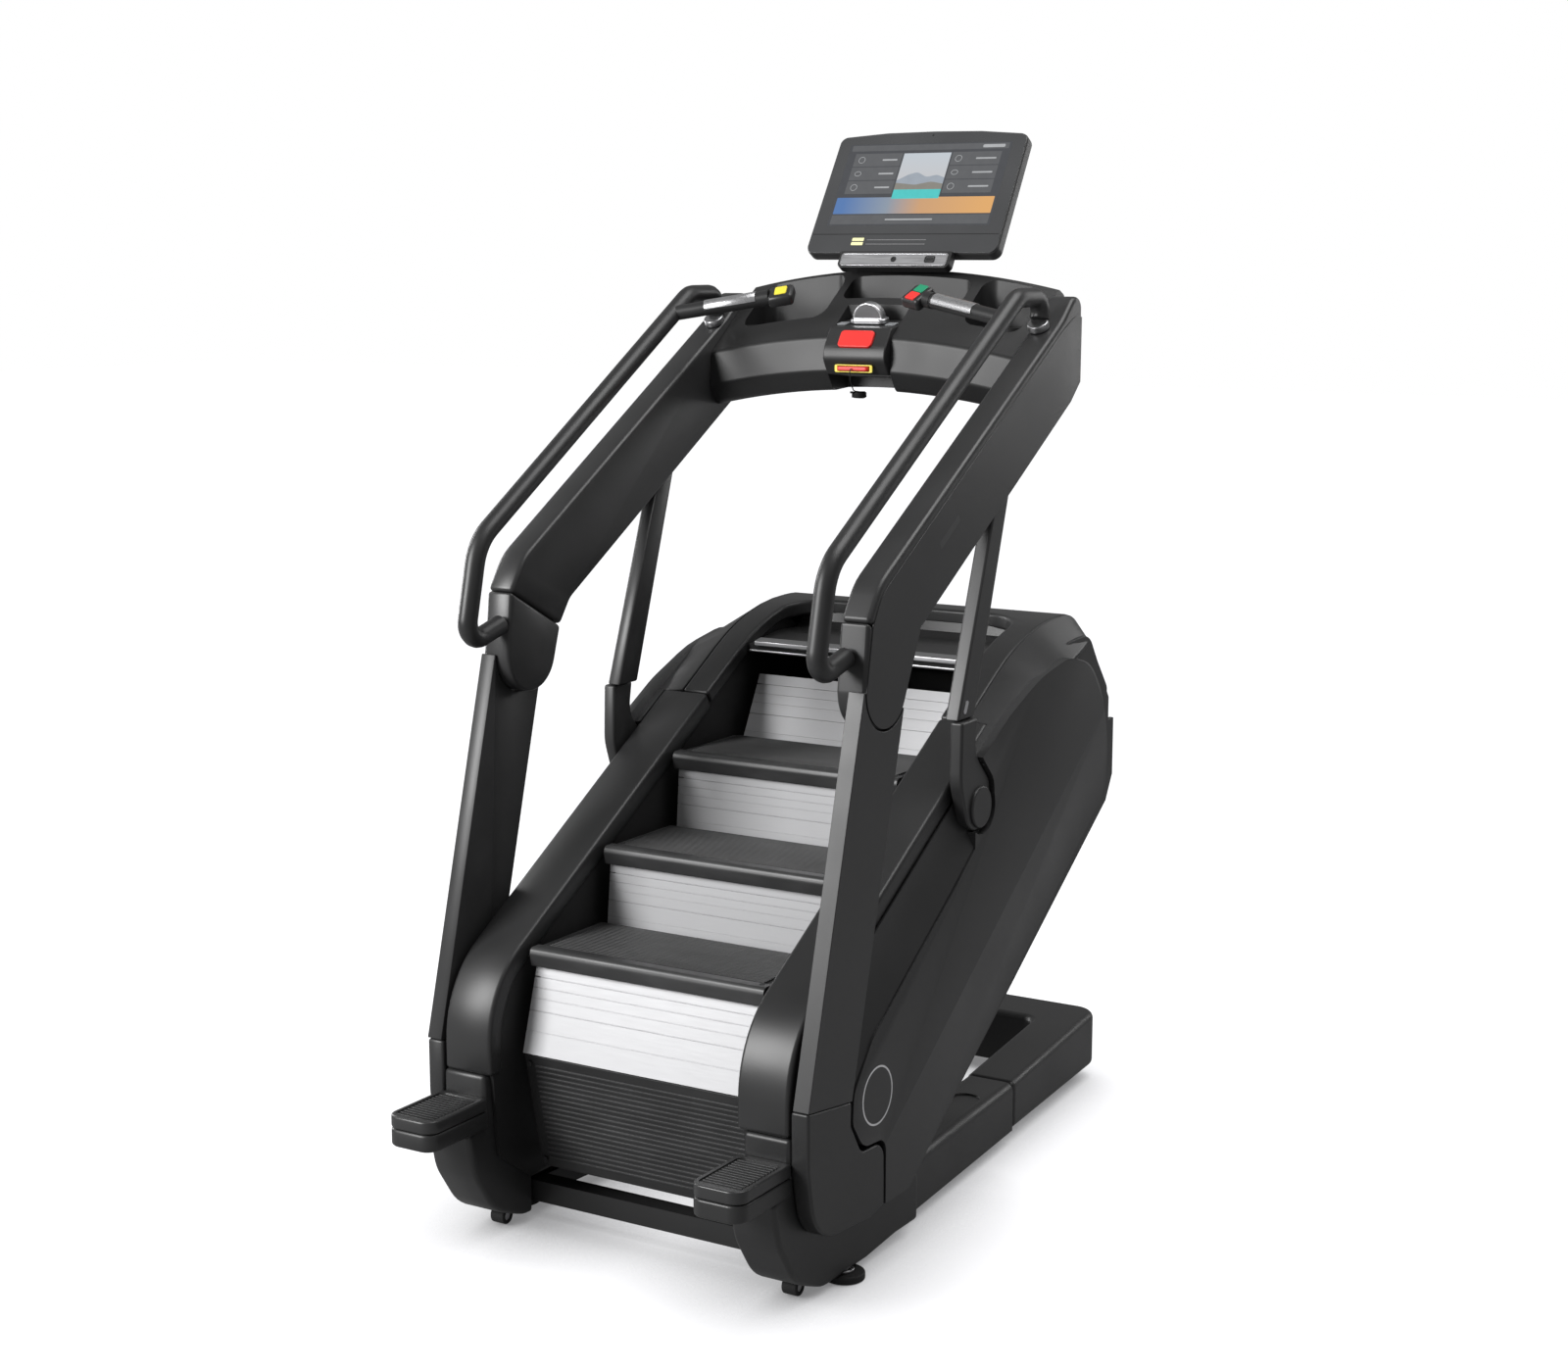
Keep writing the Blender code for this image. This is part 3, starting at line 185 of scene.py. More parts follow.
def bent(corners, radii, steps=8):
    """An open line with rounded inner corners."""
    return rounded(list(corners), [0.0, *radii, 0.0], steps)


def arc(centre, radius, start, end, steps):
    """Points on an arc, in degrees from +Y towards +Z."""
    angles = [math.radians(start + (end - start) * i / steps) for i in range(steps + 1)]
    return [(centre[0] + radius * math.cos(a), centre[1] + radius * math.sin(a)) for a in angles]


def beside(path, distance):
    """The line moved to the right of its walking direction."""
    moved = []
    for index, point in enumerate(path):
        before = Vector(path[max(index - 1, 0)])
        after = Vector(path[min(index + 1, len(path) - 1)])
        along = (after - before).normalized()
        moved.append(tuple(Vector(point) + Vector((along.y, -along.x)) * distance))
    return moved


# %% Drawing a plate
def draw_loop(name, points):
    """One vertex, extruded from point to point and filled."""
    deselect()
    bpy.ops.mesh.primitive_plane_add(size=0.01, location=points[0])
    obj = bpy.context.object
    obj.name = name
    obj.data.name = name
    bpy.ops.object.mode_set(mode="EDIT")
    bpy.ops.mesh.select_all(action="SELECT")
    bpy.ops.mesh.merge(type="CENTER")
    for here, following in zip(points, points[1:]):
        step = Vector(following) - Vector(here)
        bpy.ops.mesh.extrude_region_move(TRANSFORM_OT_translate={"value": step})
    bpy.ops.mesh.select_all(action="SELECT")
    bpy.ops.mesh.edge_face_add()
    return obj


def pull(step):
    """Extrude what is selected."""
    bpy.ops.mesh.extrude_region_move(TRANSFORM_OT_translate={"value": step})


def close_up(obj):
    """Leave edit mode with all faces pointing out and the place in the mesh."""
    bpy.ops.mesh.select_all(action="SELECT")
    bpy.ops.mesh.remove_doubles(threshold=0.00001)
    bpy.ops.mesh.normals_make_consistent(inside=False)
    bpy.ops.object.mode_set(mode="OBJECT")
    return settle(obj)


def plate(name, outline, x_start, x_end):
    """A plate with this side view, from one x to another."""
    points = [(x_start, y + NOSE_Y, z) for y, z in outline]
    obj = draw_loop(name, points)
    pull((x_end - x_start, 0.0, 0.0))
    return close_up(obj)


def slab(name, outline, z_start, z_end):
    """A slab with this plan view, from one height to another."""
    points = [(x, y + NOSE_Y, z_start) for x, y in outline]
    obj = draw_loop(name, points)
    pull((0.0, 0.0, z_end - z_start))
    return close_up(obj)


# %% Modifiers that are applied
def apply_last(obj):
    """Apply the modifier that was added last."""
    pick(obj)
    bpy.ops.object.modifier_apply(modifier=obj.modifiers[-1].name)
    return obj


def bevelled(obj, width, segments=3, angle=32.0):
    """Edges rounded all over."""
    modifier = obj.modifiers.new("rounding", "BEVEL")
    modifier.width = width
    modifier.segments = segments
    modifier.limit_method = "ANGLE"
    modifier.angle_limit = math.radians(angle)
    modifier.use_clamp_overlap = True
    return apply_last(obj)


def combine(obj, other, operation):
    """Join or cut with a helper shape, which is then removed."""
    modifier = obj.modifiers.new("shape", "BOOLEAN")
    modifier.operation = operation
    modifier.object = other
    modifier.solver = "EXACT"
    apply_last(obj)
    bpy.data.objects.remove(other, do_unlink=True)
    return obj


def smooth(obj, angle=38.0):
    """Smooth shading that stops at real edges."""
    pick(obj)
    bpy.ops.object.shade_smooth_by_angle(angle=math.radians(angle))
    modifier = obj.modifiers.new("even", "WEIGHTED_NORMAL")
    modifier.keep_sharp = True
    return apply_last(obj)


def join_all(name, objects):
    """Several shapes made one piece."""
    deselect()
    for obj in objects:
        obj.select_set(True)
    bpy.context.view_layer.objects.active = objects[0]
    bpy.ops.object.join()
    objects[0].name = name
    objects[0].data.name = name
    return objects[0]


def copy_of(obj, name, step=(0.0, 0.0, 0.0)):
    """A copy with its own mesh, moved by a step."""
    pick(obj)
    bpy.ops.object.duplicate()
    twin = bpy.context.object
    twin.name = name
    twin.data.name = name
    twin.location = step
    return settle(twin)


def mirrored(obj, name):
    """A copy on the other side of the machine, with its faces pointing out again."""
    twin = copy_of(obj, name)
    bpy.ops.object.mode_set(mode="EDIT")
    bpy.ops.mesh.select_all(action="SELECT")
    bpy.ops.transform.resize(value=(-1.0, 1.0, 1.0), center_override=(0.0, 0.0, 0.0))
    bpy.ops.mesh.flip_normals()
    bpy.ops.object.mode_set(mode="OBJECT")
    return twin


BODY_OF = {}
for body_name, node_names in frame["record"]["behaviour"]["bodies"].items():
    for node_name in node_names:
        BODY_OF[node_name] = body_name


def place_piece(obj, material, node=None, body=None, stands_for=True):
    """Give a piece its finish, the body it moves with and the node it stands for."""
    obj.data.materials.clear()
    obj.data.materials.append(material)
    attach(obj, body or BODY_OF[node])
    if node and stands_for:
        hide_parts(node)
    return obj


# %% [markdown]
# ## Finishes
# The covers are moulded in dark plastic with a fine sand-like grain; uprights and arms are a
# shade lighter.  Treads and pads are ribbed rubbery plastic.  Risers are brushed aluminium with
# streaks along their length.  Each finish is a small network: a fine noise for the grain, a broad
# one that changes colour and gloss a little, so that a large cover never looks painted flat.


# %% Moulded plastic
def network(name):
    """A new material with its node tree and its shader."""
    material = bpy.data.materials.new(name)
    material.use_nodes = True
    tree = material.node_tree
    return material, tree, tree.nodes["Principled BSDF"]


def link(tree, source, output, target, entry):
    """Join a node's output to another node's input, both by name."""
    tree.links.new(source.outputs[output], target.inputs[entry])


def noise(tree, scale, detail=3.0, stretch=(1.0, 1.0, 1.0)):
    """Noise on the object's own coordinates, stretched along one of them if asked."""
    coordinates = tree.nodes.new("ShaderNodeTexCoord")
    mapping = tree.nodes.new("ShaderNodeMapping")
    mapping.inputs["Scale"].default_value = stretch
    link(tree, coordinates, "Object", mapping, "Vector")
    texture = tree.nodes.new("ShaderNodeTexNoise")
    texture.inputs["Scale"].default_value = scale
    texture.inputs["Detail"].default_value = detail
    link(tree, mapping, "Vector", texture, "Vector")
    return texture


def ramp(tree, source, output, low, high, first, second):
    """Two colours spread between two values of a texture."""
    node = tree.nodes.new("ShaderNodeValToRGB")
    node.color_ramp.elements[0].position = low
    node.color_ramp.elements[0].color = (*first, 1.0)
    node.color_ramp.elements[1].position = high
    node.color_ramp.elements[1].color = (*second, 1.0)
    link(tree, source, output, node, "Fac")
    return node


def grey(value):
    """A grey with a trace of blue."""
    return (value, value, value * 1.02)


def moulded(name, tone, roughness, grain=1400.0, depth=0.10, spread=0.10):
    """Grained plastic; tone is its grey, or a colour."""
    colour = grey(tone) if isinstance(tone, float) else tone
    material, tree, shader = network(name)
    broad = noise(tree, 5.0, 2.0)
    darker = tuple(c * (1.0 - spread) for c in colour)
    lighter = tuple(c * (1.0 + spread) for c in colour)
    tint = ramp(tree, broad, "Fac", 0.35, 0.65, darker, lighter)
    link(tree, tint, "Color", shader, "Base Color")
    gloss = ramp(tree, broad, "Fac", 0.3, 0.7, (roughness - 0.04,) * 3, (roughness + 0.04,) * 3)
    link(tree, gloss, "Color", shader, "Roughness")
    fine = noise(tree, grain, 2.0)
    bump = tree.nodes.new("ShaderNodeBump")
    bump.inputs["Strength"].default_value = depth
    bump.inputs["Distance"].default_value = 0.0006
    link(tree, fine, "Fac", bump, "Height")
    link(tree, bump, "Normal", shader, "Normal")
    return material


COVER = moulded("cover_plastic", 0.020, 0.40)
COVER_LIGHT = moulded("side_plastic", 0.024, 0.38)
INNER = moulded("inner_wall_plastic", 0.008, 0.60)
UPRIGHT = moulded("upright_finish", 0.026, 0.40, grain=1800.0)
CONSOLE_SKIN = moulded("console_plastic", 0.014, 0.45)
GRIP = moulded("handrail_sleeve", 0.018, 0.42, grain=700.0, depth=0.16)
FRAME_PAINT = moulded("frame_paint", 0.016, 0.40, grain=500.0, depth=0.12)
FOOT_RUBBER = moulded("foot_rubber", 0.014, 0.70, grain=500.0, depth=0.2)
SHADOW_BLACK = moulded("gap_black", 0.006, 0.75)


# %% Metals
def metal(name, tone, roughness, streak=(1.0, 40.0, 40.0), contrast=0.12):
    """Brushed metal: noise drawn out along the brushing direction."""
    material, tree, shader = network(name)
    shader.inputs["Metallic"].default_value = 1.0
    lines = noise(tree, 18.0, 4.0, streak)
    tint = ramp(tree, lines, "Fac", 0.3, 0.7, grey(tone * (1.0 - contrast)), grey(tone * (1.0 + contrast)))
    link(tree, tint, "Color", shader, "Base Color")
    gloss = ramp(tree, lines, "Fac", 0.3, 0.7, (roughness - 0.06,) * 3, (roughness + 0.08,) * 3)
    link(tree, gloss, "Color", shader, "Roughness")
    bump = tree.nodes.new("ShaderNodeBump")
    bump.inputs["Strength"].default_value = 0.06
    bump.inputs["Distance"].default_value = 0.0004
    link(tree, lines, "Fac", bump, "Height")
    link(tree, bump, "Normal", shader, "Normal")
    return material


RISER_METAL = metal("brushed_riser", 0.47, 0.50, streak=(1.0, 60.0, 60.0), contrast=0.03)
RISER_METAL.node_tree.nodes["Principled BSDF"].inputs["Metallic"].default_value = 0.35
SATIN = metal("satin_trim", 0.62, 0.30, contrast=0.03)
SENSOR = metal("sensor_plate", 0.70, 0.30, streak=(2.0, 60.0, 60.0), contrast=0.02)
STEEL = metal("machined_steel", 0.42, 0.35)
RED = moulded("stop_red", (0.80, 0.035, 0.030), 0.38, spread=0.04)
YELLOW = moulded("key_yellow", (0.86, 0.72, 0.060), 0.40, spread=0.04)
GREEN = moulded("go_green", (0.015, 0.26, 0.13), 0.35, spread=0.04)
print("finishes", len(bpy.data.materials))


# %% Blocks and rollers
def cutter(name, low, high):
    """A box-shaped helper for cutting, between two corners given from the first step's nose."""
    deselect()
    middle = [(a + b) / 2 for a, b in zip(low, high)]
    bpy.ops.mesh.primitive_cube_add(size=1.0, location=(middle[0], middle[1] + NOSE_Y, middle[2]))
    box = bpy.context.object
    box.name = name
    box.scale = [abs(b - a) for a, b in zip(low, high)]
    return settle(box)


def roller(name, centre, radius, length, axis="X", sides=48):
    """A cylinder whose centre is given from the first step's nose."""
    deselect()
    turn = {"X": (0.0, math.pi / 2, 0.0), "Y": (math.pi / 2, 0.0, 0.0), "Z": (0.0, 0.0, 0.0)}[axis]
    bpy.ops.mesh.primitive_cylinder_add(vertices=sides, radius=radius, depth=length, rotation=turn,
                                        location=(centre[0], centre[1] + NOSE_Y, centre[2]))
    obj = bpy.context.object
    obj.name = name
    obj.data.name = name
    return settle(obj)

# %% [markdown]
# ## Arched side covers
# Beside the steps runs a broad arched cover on each side: it rises straight from the entry step,
# turns over in a large arc and climbs with the steps.  It could be swept along a curve, but drawing
# its side view once and pulling it to its width keeps the arc exact.  Its long edges are rounded
# by a centimetre, which is where the lamp draws the bright line.

# %% Arched covers
SLOPE = math.atan2(0.158, 0.264)
COVER_IN, COVER_OUT = 0.2925, 0.4080
LOW_LINE = bent([(-0.119, 0.3585), (-0.119, 0.542), (0.690, 1.0230)], [0.22], 16)
TOP_LINE = bent([(0.6908, 1.0234), (0.971, 1.190), (1.215, 1.190), (1.335, 1.020), (1.335, 0.935)],
                [0.60, 0.10, 0.06], 16)


def band(line, depth):
    """A side view that follows a line on its outer side and has this depth."""
    return line + list(reversed(beside(line, depth)))


arched = plate("arched_cover_right", band(LOW_LINE, 0.0445), COVER_IN, COVER_OUT)
smooth(bevelled(arched, 0.009, 4))
place_piece(mirrored(arched, "arched_cover_left"), COVER, "shroud_left")
place_piece(arched, COVER, "shroud_right")
print("arched cover faces", len(arched.data.polygons))

# %% [markdown]
# ## Top cover
# The covers end at a seam, and one wide piece closes the top: two side bands, a sunken well with a
# grey deck in front of it, and the rounded back.  The well is cut out of the full-width band, then
# all edges are rounded together so that the rim of the well is as soft as the outside.

# %% Top cover and its well
top = plate("top_cover_shell", band(TOP_LINE, 0.034), -0.3602, 0.3602)
well_plan = rounded([(-COVER_IN, 0.500), (COVER_IN, 0.500), (COVER_IN, 1.105), (-COVER_IN, 1.105)],
                    [0.0, 0.0, 0.10, 0.10], 10)
combine(top, slab("well_tool", well_plan, 0.90, 1.30), "DIFFERENCE")
smooth(bevelled(top, 0.008, 4))
place_piece(top, COVER, "top_cover")

# %% [markdown]
# Along both sides the top cover falls away in a broad bevel before it meets the side panel.  That
# shoulder is drawn in side view like the band, and its outer, upper row of points is then moved
# down to the panel's edge, which tilts the face and leaves a crisp crease along the top.

# %% Shoulders of the top cover
shoulder_line = [p for p in TOP_LINE if p[1] > 1.0230 or p[0] > 1.200]
FALLS = [(0.60, 0.006), (0.80, 0.018), (0.864, 0.026), (0.985, 0.066), (1.10, 0.072),
         (1.19, 0.058), (1.27, 0.038), (1.40, 0.025)]
deep, shallow = beside(shoulder_line, 0.100), shoulder_line


def fall_at(y):
    """How far the bevel has fallen at this place, read from the table."""
    for (y0, fall0), (y1, fall1) in zip(FALLS, FALLS[1:]):
        if y <= y1:
            return fall0 + (fall1 - fall0) * (y - y0) / (y1 - y0)
    return FALLS[-1][1]


under_line = [tuple(Vector(high).lerp(Vector(low), (fall_at(high[0]) + 0.010) / 0.100))
              for high, low in zip(shallow, deep)]
shoulder = plate("cover_shoulder_right", shoulder_line + under_line[::-1], 0.3600, 0.4470)
for vertex in shoulder.data.vertices:
    if vertex.co.x > 0.44:
        for spot, low_spot, high_spot in zip(shoulder_line, deep, shallow):
            if abs(vertex.co.y - NOSE_Y - spot[0]) < 0.0004 and abs(vertex.co.z - spot[1]) < 0.0004:
                share = fall_at(spot[0]) / 0.100
                vertex.co.y = high_spot[0] + (low_spot[0] - high_spot[0]) * share + NOSE_Y
                vertex.co.z = high_spot[1] + (low_spot[1] - high_spot[1]) * share
                break
        share = min(1.0, max(0.0, (vertex.co.y - NOSE_Y - 1.000) / 0.200))
        vertex.co.x = 0.4470 - 0.0400 * share
smooth(bevelled(shoulder, 0.0030, 2, 20.0), 22.0)
place_piece(mirrored(shoulder, "cover_shoulder_left"), COVER, body="machine_body")
place_piece(shoulder, COVER, body="machine_body")

# %% Bridges between arched covers and shoulders
bridge = plate("cover_bridge_right", [(0.5900, 0.9634), (0.6896, 1.0225), (0.6896, 0.9850), (0.6200, 0.9420)],
               0.4070, 0.4470)
for vertex in bridge.data.vertices:
    if vertex.co.x > 0.44 and vertex.co.z > 0.955 and abs(vertex.co.z - 0.985) > 0.001:
        vertex.co.z -= 0.0080
smooth(bevelled(bridge, 0.0020, 2, 20.0), 22.0)
place_piece(mirrored(bridge, "cover_bridge_left"), COVER, body="machine_body")
place_piece(bridge, COVER, body="machine_body")

# %% Deck in the well
deck = plate("well_deck", rounded([(0.874, 1.112), (0.985, 1.126), (1.080, 1.124), (1.132, 1.160), (1.150, 1.160),
                                   (1.085, 1.108), (0.874, 1.100)],
                                  [0.0, 0.05, 0.05, 0.01, 0.0, 0.0, 0.0], 8), -0.2915, 0.2915)
place_piece(smooth(bevelled(deck, 0.002, 2)), COVER, body="machine_body")
back_wall = plate("well_back", [(1.096, 1.120), (1.140, 1.120), (1.140, 1.176), (1.110, 1.176)], -0.2915, 0.2915)
place_piece(smooth(back_wall), COVER, body="machine_body")

# %% [markdown]
# ## Threshold
# Where the steps disappear there is a silver bar with rounded ends, a lower one that faces the
# climber, and a black brush between them and the riser.

# %% Threshold bars
upper_bar = plate("threshold_bar", rounded([(0.846, 1.110), (0.876, 1.112), (0.876, 1.127), (0.846, 1.122)],
                                           0.003, 4), -0.2660, 0.2660)
place_piece(smooth(bevelled(upper_bar, 0.002, 2)), STEEL, body="machine_body")
lower_bar = plate("threshold_lip", rounded([(0.858, 1.094), (0.872, 1.094), (0.872, 1.100), (0.858, 1.100)],
                                           0.002, 3), -0.286, 0.286)
place_piece(smooth(lower_bar), STEEL, body="machine_body")
brush = plate("threshold_brush", [(0.862, 1.099), (0.876, 1.099), (0.876, 1.113), (0.862, 1.113)], -0.289, 0.289)
place_piece(brush, SHADOW_BLACK, body="machine_body")

# %% [markdown]
# ## Outer side panels
# The panels are the largest faces.  Each starts as a rounded tail behind the upright's boot,
# follows the steps up, wraps around the strut and comes down the back; towards the machine it
# widens, so that its back edge slopes.  The face is drawn, pulled a little, and its inner loop is
# then scaled about the tail, which gives the slope in one step.  A faint crease crosses the face:
# a bisecting plane adds its edge, and the points beyond it are moved inwards a little.

# %% Side panels
PANEL_OUT = 0.4520
PANEL_FACE = rounded(
    [(0.180, 0.143), (0.180, 0.280), (0.090, 0.286), (0.048, 0.345), (0.052, 0.405), (0.124, 0.496),
     (0.280, 0.600), (0.4690, 0.7230), (0.5520, 0.785), (0.5520, 0.955), (0.705, 1.040), (0.850, 1.098),
     (1.000, 1.124), (1.110, 1.090), (1.190, 0.985), (1.225, 0.880), (1.225, 0.800), (1.198, 0.765), (0.275, 0.143)],
    [0.0, 0.03, 0.05, 0.03, 0.05, 0.10, 0.0, 0.0, 0.0, 0.02, 0.3, 0.4, 0.14, 0.12, 0.2, 0.12, 0.03, 0.05, 0.0], 8)


def strut_boot_outline(extra=0.0):
    """Side view of the curved boot at a strut's foot, grown by a distance."""
    shape = rounded([(0.5040, 1.0553), (0.5750, 1.0553), (0.5630, 0.9850), (0.6330, 0.915), (0.6330, 0.820),
                     (0.5400, 0.818), (0.5000, 0.930)], [0.0, 0.0, 0.06, 0.045, 0.046, 0.046, 0.10], 10)
    return beside(shape + shape[:1], -extra)[:-1] if extra else shape


panel = plate("outer_panel_right", PANEL_FACE, PANEL_OUT, PANEL_OUT - 0.018)
pick(panel)
bpy.ops.object.mode_set(mode="EDIT")
bpy.ops.mesh.select_all(action="DESELECT")
bpy.ops.object.mode_set(mode="OBJECT")
inner_face = min(panel.data.polygons, key=lambda face: face.center.x - (1.0 if abs(face.normal.x) > 0.9 else 0.0))
inner_face.select = True
print("panel inner face at x", round(inner_face.center.x, 4))
bpy.ops.object.mode_set(mode="EDIT")
bpy.ops.mesh.select_mode(type="FACE")
pull((-0.0245, 0.0, 0.0))
bpy.ops.transform.resize(value=(1.0, 1.098, 0.985), center_override=(0.43, -0.515, 0.25))
bpy.ops.mesh.normals_make_consistent(inside=False)
bpy.ops.mesh.select_mode(type="VERT")
bpy.ops.object.mode_set(mode="OBJECT")
boss_recess = plate("recess_tool", arc((0.585, 0.866), 0.0560, 0.0, 352.5, 47), 0.4360, 0.4800)
combine(panel, boss_recess, "DIFFERENCE")
combine(panel, plate("boot_tool", strut_boot_outline(0.0035), 0.4100, 0.4800), "DIFFERENCE")
bevelled(panel, 0.0045, 3, 17.0)
CREASE_SPOT = Vector((0.0, 0.7843 + NOSE_Y, 0.6908))
crease_out = Vector((0.0, 0.5724, -0.8200))
pick(panel)
bpy.ops.object.mode_set(mode="EDIT")
bpy.ops.mesh.select_all(action="SELECT")
bpy.ops.mesh.bisect(plane_co=CREASE_SPOT, plane_no=crease_out)
bpy.ops.object.mode_set(mode="OBJECT")
for vertex in panel.data.vertices:
    beyond = (vertex.co - CREASE_SPOT).dot(crease_out)
    if beyond > 0.0 and vertex.co.y - NOSE_Y > 0.300:
        vertex.co.x -= 0.060 * beyond * min(1.0, (vertex.co.y - NOSE_Y - 0.300) / 0.200)
smooth(panel, 17.0)
for edge in panel.data.edges:
    ends = [panel.data.vertices[i].co for i in edge.vertices]
    if all(abs((end - CREASE_SPOT).dot(crease_out)) < 0.0005 and end.x > 0.450 for end in ends):
        edge.use_edge_sharp = True
BADGE_SPOT = (0.4520, 0.1450, 0.3760)
place_piece(mirrored(panel, "outer_panel_left"), COVER_LIGHT, "side_panel_left")
ring_tool = roller("ring_tool", BADGE_SPOT, 0.0600, 0.0030, "X", 96)
combine(ring_tool, roller("core_tool", BADGE_SPOT, 0.0555, 0.0100, "X", 96), "DIFFERENCE")
ring = roller("blank_ring", (0.45145, 0.1450, 0.3760), 0.0597, 0.0010, "X", 96)
combine(ring, roller("core_tool", BADGE_SPOT, 0.0558, 0.0100, "X", 96), "DIFFERENCE")
combine(panel, ring_tool, "DIFFERENCE")
RING_GREY = moulded("ring_grey", 0.75, 0.35)
place_piece(smooth(ring), RING_GREY, body="machine_body")
place_piece(panel, COVER_LIGHT, "side_panel_right")
print("panel faces", len(panel.data.polygons), "box", [round(v, 3) for v in panel.dimensions])

# %% Backing sheets behind the panels
under = 0.046
backing_line = [p for p in beside(LOW_LINE, under) + beside(TOP_LINE, under)[1:] if 0.0 < p[0] < 1.22]
backing = plate("panel_backing_right", backing_line + [(1.305, 0.985), (1.305, 0.933), (1.334, 0.933),
                                                       (1.334, 0.800), (1.300, 0.742), (0.395, 0.143),
                                                       (0.235, 0.143), (0.190, 0.190)], 0.3992, 0.4110)
smooth(bevelled(backing, 0.002, 2))
place_piece(mirrored(backing, "panel_backing_left"), COVER, body="machine_body")
place_piece(backing, COVER, body="machine_body")

# %% [markdown]
# Between the arched cover and the side panel the surface sinks into a broad scoop.  It is a small
# grid whose three rows of points are set on the cover's edge, on the crease and on the panel's
# edge, and which then gets a wall.

# %% Scoops beside the steps
SCOOP_ROWS = [(0.4122, [(0.002, 0.5660), (0.100, 0.6250), (0.260, 0.7210), (0.430, 0.8230), (0.560, 0.9010)]),
              (0.4180, [(0.022, 0.5000), (0.110, 0.5650), (0.268, 0.6640), (0.450, 0.7740), (0.558, 0.8420)]),
              (0.4470, [(0.052, 0.4110), (0.124, 0.4990), (0.280, 0.6030), (0.4700, 0.7260), (0.5560, 0.7900)])]
deselect()
bpy.ops.mesh.primitive_grid_add(x_subdivisions=4, y_subdivisions=2, size=1.0, location=(0.0, 0.0, 0.0))
scoop = bpy.context.object
scoop.name = scoop.data.name = "scoop_right"
spots = sorted(scoop.data.vertices, key=lambda vertex: (round(vertex.co.y, 4), round(vertex.co.x, 4)))
print("scoop points", len(spots))
for vertex, spot in zip(spots, [(x, y, z) for x, row in SCOOP_ROWS for y, z in row]):
    vertex.co = (spot[0], spot[1] + NOSE_Y, spot[2])
modifier = scoop.modifiers.new("round", "SUBSURF")
modifier.levels = modifier.render_levels = 2
modifier.boundary_smooth = "PRESERVE_CORNERS"
apply_last(scoop)
modifier = scoop.modifiers.new("wall", "SOLIDIFY")
modifier.thickness, modifier.offset = 0.003, 0.0
apply_last(scoop)
smooth(scoop, 40.0)
place_piece(mirrored(scoop, "scoop_left"), COVER, body="machine_body")
place_piece(scoop, COVER, body="machine_body")

# %% Belly cover
belly_line = bent([(1.3345, 0.934), (1.3345, 0.780), (0.420, 0.160)], [0.06], 10)
belly = plate("belly_sheet", band(belly_line, 0.010), -0.3975, 0.3975)
place_piece(smooth(bevelled(belly, 0.002, 2)), COVER, "belly_cover")

# %% [markdown]
# ## Lower shells and entry steps
# Under each arched cover sits a hull-shaped shell that carries a small entry step in front.  The
# hull's side view gives the round belly.  The step is a short shelf with rounded corners, joined
# to the hull, and the hull is notched where the base bar, the transport wheel and the screw foot
# pass through it.

# %% Lower shells
HULL = rounded([(-0.119, 0.3580), (-0.119, 0.260), (-0.176, 0.248), (-0.158, 0.158), (-0.092, 0.060),
                (0.010, 0.0195), (0.180, 0.0200), (0.300, 0.0300), (0.3920, 0.0300), (0.3920, 0.1400),
                (0.230, 0.1400), (0.040, 0.3580)],
               [0.0, 0.03, 0.012, 0.120, 0.120, 0.090, 0.0, 0.0, 0.0, 0.020, 0.03, 0.0], 12)
SHELF_TOP, PAD = 0.3130, 0.026
shelf_plan = rounded([(0.3000, -0.300), (0.4160, -0.300), (0.4160, -0.117), (0.3000, -0.117)],
                     [0.030, 0.030, 0.0, 0.0], 8)

hull = plate("hull_right", HULL, 0.3078, 0.4120)
bevelled(hull, 0.010, 4, 50.0)
shelf = slab("shelf_tool", shelf_plan, 0.249, SHELF_TOP - PAD - 0.001)
bevelled(shelf, 0.006, 3, 50.0)
combine(hull, shelf, "UNION")
combine(hull, cutter("bar_tool", (0.25, 0.030, 0.0), (0.376, 0.420, 0.098)), "DIFFERENCE")
combine(hull, cutter("foot_tool", (0.350, 0.089, -0.01), (0.407, 0.137, 0.056)), "DIFFERENCE")
combine(hull, cutter("tail_tool", (0.4010, 0.044, 0.1422), (0.430, 0.430, 0.400)), "DIFFERENCE")
combine(hull, roller("wheel_tool", (0.354, -0.012, 0.020), 0.022, 0.036), "DIFFERENCE")
smooth(hull)
place_piece(mirrored(hull, "hull_left"), COVER, "lower_shell_left")
place_piece(hull, COVER, "lower_shell_right")

# %% [markdown]
# ## Ribbed pads
# Each entry step has a thick rubbery pad: a raised rim around a field of ribs that run across the
# foot.  One rib is made from a cube with its upper edges rounded, then copied down the pad.

